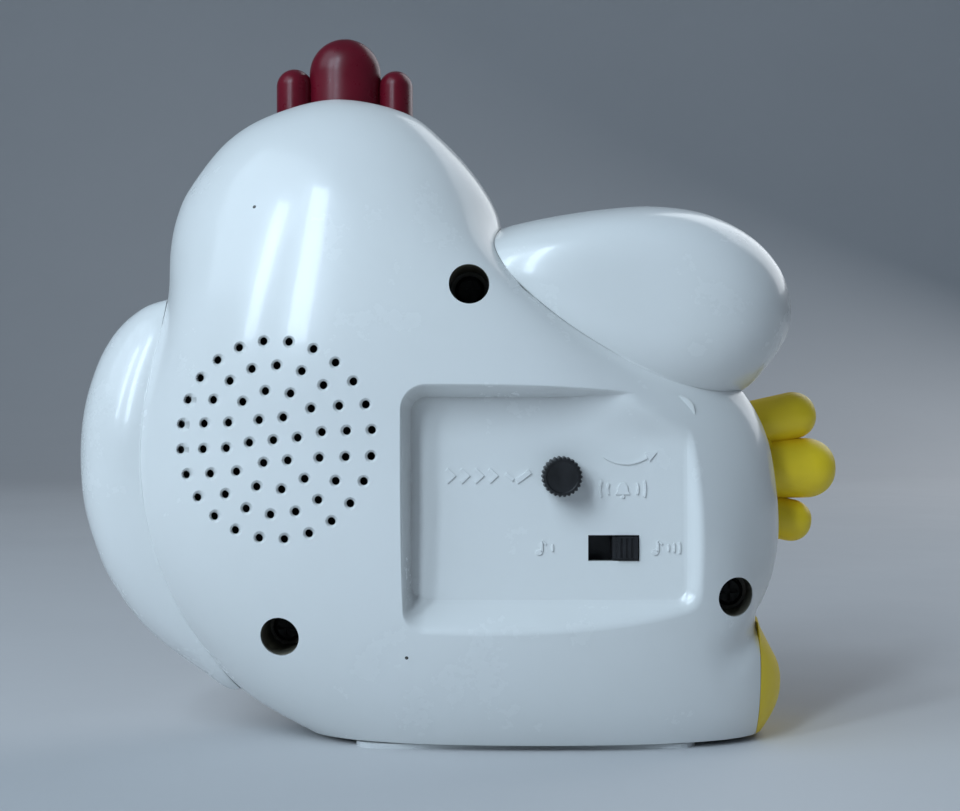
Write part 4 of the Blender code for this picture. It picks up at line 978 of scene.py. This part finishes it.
# ------------------------------------------------------------------ spring below the comb
SPRING_WIRE = 0.35
SPRING_TURNS = 5
coil_low, coil_high = low_of("comb_spring") - SHIFT, high_of("comb_spring") - SHIFT
coil_r = (coil_high[0] - coil_low[0]) / 2 - SPRING_WIRE
coil_x, coil_y = (coil_low[0] + coil_high[0]) / 2, (coil_low[1] + coil_high[1]) / 2
coil = []
for t in np.linspace(0.0, 1.0, SPRING_TURNS * 28 + 1):
    climb = min(max((t - 0.12) / 0.76, 0.0), 1.0)
    a = 2 * math.pi * SPRING_TURNS * t
    coil.append((coil_x + coil_r * math.cos(a), coil_y + coil_r * math.sin(a),
                 coil_low[2] + SPRING_WIRE + (coil_high[2] - coil_low[2] - 2 * SPRING_WIRE) * climb))
spring = tube_along("comb_spring_skin", np.array(coil), [SPRING_WIRE] * len(coil), (0, 0, 1))


# ------------------------------------------------------------------ materials
def node(tree, kind, **values):
    made = tree.nodes.new(kind)
    for key, value in values.items():
        if key.startswith("in_"):
            made.inputs[key[3:].replace("_", " ")].default_value = value
        else:
            setattr(made, key, value)
    return made


def surface(name, rgb, rough, second=None, blotch=30.0, spread=0.06, ripple=0.0, grain=0.03, grain_scale=2400.0,
            specks=0.0, scratches=0.0, dirt_and_shade=0.0, dirt_and_shade_rgb=(0.16, 0.12, 0.07), coat=0.0, metallic=0.0,
            transmission=0.0, ior=1.47, subsurface=0.0):
    """Moulded surface: blotchy tone, uneven gloss, fine grain, dirt and painted shade in hollows, specks,
    scratches.
    """
    mat = bpy.data.materials.new(name)
    mat.use_nodes = True
    tree = mat.node_tree
    link = tree.links.new
    bsdf = tree.nodes["Principled BSDF"]
    bsdf.inputs["Metallic"].default_value = metallic
    bsdf.inputs["IOR"].default_value = ior
    bsdf.inputs["Coat Weight"].default_value = coat
    bsdf.inputs["Coat Roughness"].default_value = 0.06
    bsdf.inputs["Transmission Weight"].default_value = transmission
    if subsurface:
        bsdf.inputs["Subsurface Weight"].default_value = subsurface
        bsdf.inputs["Subsurface Radius"].default_value = (0.004, 0.003, 0.002)
        bsdf.inputs["Subsurface Scale"].default_value = 1.0
    where = node(tree, "ShaderNodeTexCoord")
    tone = node(tree, "ShaderNodeTexNoise", in_Scale=blotch, in_Detail=5.0, in_Roughness=0.62)
    link(where.outputs["Object"], tone.inputs["Vector"])
    mix = node(tree, "ShaderNodeMix", data_type="RGBA")
    other = second or tuple(c * (1.0 - 2.4 * spread) for c in rgb)
    mix.inputs["A"].default_value = (*other, 1)
    mix.inputs["B"].default_value = (*[min(1.0, c * (1.0 + spread)) for c in rgb], 1)
    level = node(tree, "ShaderNodeMapRange", in_From_Min=0.28, in_From_Max=0.68)
    link(tone.outputs["Fac"], level.inputs["Value"])
    link(level.outputs["Result"], mix.inputs["Factor"])
    colour = mix.outputs["Result"]
    # hollows found by pointiness, broken up by noise, are darkened: partly dirt, partly painted shade in
    # creases, seams and recess corners
    if dirt_and_shade:
        geo = node(tree, "ShaderNodeNewGeometry")
        hollow = node(tree, "ShaderNodeMapRange", in_From_Min=0.485, in_From_Max=0.38, in_To_Min=0.0,
                      in_To_Max=dirt_and_shade)
        patch = node(tree, "ShaderNodeTexNoise", in_Scale=260.0, in_Detail=4.0)
        link(where.outputs["Object"], patch.inputs["Vector"])
        times = node(tree, "ShaderNodeMath", operation="MULTIPLY")
        link(geo.outputs["Pointiness"], hollow.inputs["Value"])
        link(hollow.outputs["Result"], times.inputs[0])
        link(patch.outputs["Fac"], times.inputs[1])
        dirt_and_shade_mix = node(tree, "ShaderNodeMix", data_type="RGBA")
        dirt_and_shade_mix.inputs["B"].default_value = (*dirt_and_shade_rgb, 1)
        link(times.outputs["Value"], dirt_and_shade_mix.inputs["Factor"])
        link(colour, dirt_and_shade_mix.inputs["A"])
        colour = dirt_and_shade_mix.outputs["Result"]
    if specks:
        cells = node(tree, "ShaderNodeTexVoronoi", in_Scale=95.0, in_Randomness=1.0)
        link(where.outputs["Object"], cells.inputs["Vector"])
        near = node(tree, "ShaderNodeMath", operation="LESS_THAN")
        near.inputs[1].default_value = specks
        link(cells.outputs["Distance"], near.inputs[0])
        rare = node(tree, "ShaderNodeSeparateColor")
        link(cells.outputs["Color"], rare.inputs["Color"])
        pick = node(tree, "ShaderNodeMath", operation="LESS_THAN")
        pick.inputs[1].default_value = 0.10
        link(rare.outputs["Red"], pick.inputs[0])
        both = node(tree, "ShaderNodeMath", operation="MULTIPLY")
        link(near.outputs["Value"], both.inputs[0])
        link(pick.outputs["Value"], both.inputs[1])
        spot = node(tree, "ShaderNodeMix", data_type="RGBA")
        spot.inputs["B"].default_value = (0.05, 0.045, 0.04, 1)
        link(both.outputs["Value"], spot.inputs["Factor"])
        link(colour, spot.inputs["A"])
        colour = spot.outputs["Result"]
    link(colour, bsdf.inputs["Base Color"])
    gloss = node(tree, "ShaderNodeTexNoise", in_Scale=blotch * 3.1, in_Detail=6.0, in_Roughness=0.7)
    link(where.outputs["Object"], gloss.inputs["Vector"])
    rough_map = node(tree, "ShaderNodeMapRange", in_From_Min=0.3, in_From_Max=0.7,
                     in_To_Min=max(0.02, rough * 0.8), in_To_Max=min(1.0, rough * 1.25))
    link(gloss.outputs["Fac"], rough_map.inputs["Value"])
    rough_out = rough_map.outputs["Result"]
    if scratches:
        stretch = node(tree, "ShaderNodeMapping")
        stretch.inputs["Scale"].default_value = (1.0, 1.0, 22.0)
        stretch.inputs["Rotation"].default_value = (0.3, 0.9, 0.2)
        link(where.outputs["Object"], stretch.inputs["Vector"])
        lines = node(tree, "ShaderNodeTexNoise", in_Scale=110.0, in_Detail=2.0)
        link(stretch.outputs["Vector"], lines.inputs["Vector"])
        line_level = node(tree, "ShaderNodeMapRange", in_From_Min=0.66, in_From_Max=0.74, in_To_Min=0.0,
                          in_To_Max=scratches)
        link(lines.outputs["Fac"], line_level.inputs["Value"])
        add = node(tree, "ShaderNodeMath", operation="ADD")
        link(rough_out, add.inputs[0])
        link(line_level.outputs["Result"], add.inputs[1])
        rough_out = add.outputs["Value"]
    link(rough_out, bsdf.inputs["Roughness"])
    fine = node(tree, "ShaderNodeTexNoise", in_Scale=grain_scale, in_Detail=3.0)
    link(where.outputs["Object"], fine.inputs["Vector"])
    bump = node(tree, "ShaderNodeBump", in_Strength=1.0, in_Distance=grain * MM)
    link(fine.outputs["Fac"], bump.inputs["Height"])
    if ripple:
        wave = node(tree, "ShaderNodeTexNoise", in_Scale=75.0, in_Detail=1.0)
        link(where.outputs["Object"], wave.inputs["Vector"])
        swell = node(tree, "ShaderNodeBump", in_Strength=1.0, in_Distance=ripple * MM)
        link(wave.outputs["Fac"], swell.inputs["Height"])
        link(swell.outputs["Normal"], bump.inputs["Normal"])
    link(bump.outputs["Normal"], bsdf.inputs["Normal"])
    return mat


# the hollow darkening used on the shell, the yellow feet and the base is partly dirt, partly painted shade in
# creases and corners
SHELL = dict(second=(0.775, 0.785, 0.77), spread=0.0, blotch=14.0, ripple=0.05, grain=0.0015,
             specks=0.035, dirt_and_shade=0.8, coat=0.25)
materials = {
    "shell_white": surface("shell_white", (0.80, 0.81, 0.805), 0.24, **SHELL),
    "comb_red": surface("comb_red", (0.135, 0.005, 0.015), 0.30, spread=0.10, blotch=60.0, ripple=0.06,
                        grain=0.002, scratches=0.06, ior=1.40),
    "foot_yellow": surface("foot_yellow", (0.96, 0.70, 0.022), 0.42, spread=0.02, blotch=90.0, ripple=0.05,
                           grain=0.004, dirt_and_shade=0.3, dirt_and_shade_rgb=(0.25, 0.16, 0.01)),
    "beak_orange": surface("beak_orange", (0.80, 0.33, 0.025), 0.33, spread=0.06, blotch=90.0, grain=0.003),
    "eye_black": surface("eye_black", (0.010, 0.010, 0.012), 0.10, spread=0.3, blotch=200.0, grain=0.001,
                         coat=0.5),
    "bezel_yellow": surface("bezel_yellow", (0.80, 0.60, 0.045), 0.26, spread=0.05, blotch=45.0, ripple=0.04,
                            grain=0.002, scratches=0.08, coat=0.2),
    "lens_clear": surface("lens_clear", (0.96, 0.98, 0.98), 0.04, spread=0.01, grain=0.0004, scratches=0.04,
                          transmission=1.0, ior=1.49),
    "dial_card": surface("dial_card", (0.86, 0.86, 0.82), 0.55, spread=0.02, blotch=50.0, grain=0.004,
                         grain_scale=4000.0),
    "hand_black": surface("hand_black", (0.014, 0.014, 0.016), 0.34, spread=0.3, blotch=160.0, grain=0.002),
    "hand_red": surface("hand_red", (0.50, 0.022, 0.020), 0.34, spread=0.1, blotch=160.0, grain=0.002),
    "control_black": surface("control_black", (0.012, 0.012, 0.014), 0.38, spread=0.35, blotch=240.0,
                             grain=0.012, grain_scale=5200.0),
    "cone_paper": surface("cone_paper", (0.035, 0.034, 0.033), 0.85, spread=0.35, blotch=420.0, grain=0.05,
                          grain_scale=3200.0),
    "base_grey": surface("base_grey", (0.66, 0.67, 0.67), 0.5, spread=0.05, blotch=60.0, grain=0.02,
                         grain_scale=3000.0, scratches=0.1, dirt_and_shade=0.4),
    "inner_plastic": surface("inner_plastic", (0.26, 0.27, 0.29), 0.5, spread=0.08, blotch=80.0, grain=0.012),
    "gear_plastic": surface("gear_plastic", (0.80, 0.78, 0.72), 0.45, spread=0.05, blotch=120.0, grain=0.006),
    "board_green": surface("board_green", (0.02, 0.17, 0.055), 0.32, second=(0.05, 0.28, 0.09), blotch=300.0,
                           grain=0.01, coat=0.3),
    "cell_jacket": surface("cell_jacket", (0.03, 0.05, 0.17), 0.26, second=(0.02, 0.03, 0.11), blotch=50.0,
                           grain=0.003, scratches=0.12, coat=0.3),
    "steel": surface("steel", (0.55, 0.55, 0.57), 0.30, spread=0.12, blotch=180.0, grain=0.004, scratches=0.16,
                     metallic=1.0),
}
print_black = surface("print_black", (0.012, 0.012, 0.012), 0.5, spread=0.3, blotch=900.0, grain=0.004)
# inside walls of the screw wells: dark brownish colour, painted shade of the deep holes together with some dirt
well_dirt_and_shade = surface("well_dirt_and_shade", (0.30, 0.28, 0.22), 0.4, second=(0.12, 0.11, 0.085), blotch=150.0,
                     grain=0.004)
dark_zinc = surface("dark_zinc", (0.035, 0.034, 0.032), 0.55, spread=0.3, blotch=220.0, grain=0.01,
                    metallic=0.6)
mark_white = surface("mark_white", (0.83, 0.84, 0.84), 0.26, **SHELL)


def dress(obj, mat):
    obj.data.materials.clear()
    obj.data.materials.append(mat)
    obj.data.polygons.foreach_set("material_index", [0] * len(obj.data.polygons))


def place(obj, body, slot, nodes=(), mat=None):
    dress(obj, mat or materials[slot])
    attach(obj, body)
    if nodes:
        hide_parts(*nodes)


place(rear_cover, "case", "shell_white", ["rear_cover", "control_panel"])
# the well walls get the dark well material: painted shade and dirt on white plastic
place(well_tubes, "case", "shell_white", mat=well_dirt_and_shade)
place(front_shell, "case", "shell_white", ["front_shell"])
place(wing_left, "case", "shell_white", ["left_wing"])
place(wing_right, "case", "shell_white", ["right_wing"])
for lip in (lip_left, lip_right):
    if lip:
        place(lip, "case", "shell_white")
place(comb, "comb_button", "comb_red", ["comb"])
place(upper_foot, "case", "foot_yellow", ["upper_foot"])
place(lower_foot, "case", "foot_yellow", ["lower_foot"])
for name, piece in face_pieces.items():
    place(piece, "case", "eye_black", [name])
place(beak, "case", "beak_orange", ["beak"])
place(spring, "case", "steel", ["comb_spring"])
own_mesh(spring)
place(wattle, "case", "comb_red", ["wattle"])
place(bezel, "case", "bezel_yellow", ["bezel"])
place(dial_print, "case", "dial_card", mat=print_black)
place(setting_knob, "knob", "control_black", ["setting_knob"])
place(slider, "slider", "control_black", ["switch_slider"])
place(panel_marks, "case", "shell_white", mat=mark_white)
slot_of = {part["node"]: part["material_slot"] for part in frame["record"]["subparts"]}
for name, obj in frame["nodes"].items():
    for used in obj.material_slots:
        used.material = dark_zinc if name.startswith("case_screw") else materials[slot_of[name]]


# ------------------------------------------------------------------ floor, lights and camera
def backdrop():
    """Floor that curves up into a wall beyond the dial side."""
    rows = []
    wide = 6.0
    line = [(4.0, 0.0)]
    line += [(-1.2 - 0.9 * math.sin(t), 0.9 - 0.9 * math.cos(t)) for t in np.linspace(0, math.pi / 2, 24)]
    line += [(-2.1, 5.0)]
    verts = []
    for y, z in line:
        verts += [(-wide, y, z), (wide, y, z)]
    faces = [(2 * k, 2 * k + 1, 2 * k + 3, 2 * k + 2) for k in range(len(line) - 1)]
    mesh = bpy.data.meshes.new("floor")
    mesh.from_pydata(verts, [], faces)
    mesh.polygons.foreach_set("use_smooth", [True] * len(mesh.polygons))
    obj = bpy.data.objects.new("floor", mesh)
    bpy.context.scene.collection.objects.link(obj)
    mat = surface("floor_paper", (0.60, 0.60, 0.61), 0.75, spread=0.01, blotch=3.0, grain=0.02,
                  grain_scale=900.0)
    mesh.materials.append(mat)
    return obj


backdrop()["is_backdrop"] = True


def area(name, place_at, target, size, power, colour):
    light = bpy.data.lights.new(name, "AREA")
    light.shape = "RECTANGLE"
    light.size, light.size_y = size
    light.energy = power
    light.color = colour
    obj = bpy.data.objects.new(name, light)
    obj.location = place_at
    obj.rotation_euler = (Vector(target) - Vector(place_at)).to_track_quat("-Z", "Y").to_euler()
    bpy.context.scene.collection.objects.link(obj)
    return obj


COOL = (0.70, 0.86, 1.0)
HEAD = (0.03, 0.02, 0.10)
area("window", (0.38, 0.84, 0.60), HEAD, (0.11, 0.74), 4.4, COOL)
area("window_side", (0.62, 0.72, 0.56), HEAD, (0.10, 0.56), 2.4, COOL)
area("sky_fill", (1.15, 0.75, 1.25), (0.0, 0.0, 0.07), (1.3, 1.3), 10.5, COOL)
area("room_fill", (-0.9, -1.0, 0.9), (0.0, 0.0, 0.07), (1.2, 1.2), 8.0, (0.9, 0.95, 1.0))
world = bpy.data.worlds.new("world")
world.use_nodes = True
world.node_tree.nodes["Background"].inputs["Color"].default_value = (0.62, 0.78, 1.0, 1)
world.node_tree.nodes["Background"].inputs["Strength"].default_value = 0.13
bpy.context.scene.world = world
bpy.context.scene.view_settings.view_transform = "Standard"

camera = bpy.data.cameras.new("camera")
camera.lens = 61.9
camera.sensor_width = 36.0
camera.clip_start = 0.01
camera_obj = bpy.data.objects.new("camera", camera)
camera_obj.location = ((-3.3 + SHIFT[0]) * MM, (364.0 + SHIFT[1]) * MM, 72.0 * MM)
camera_obj.rotation_euler = (math.pi / 2, 0, math.pi)
bpy.context.scene.collection.objects.link(camera_obj)
bpy.context.scene.camera = camera_obj

low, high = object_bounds()
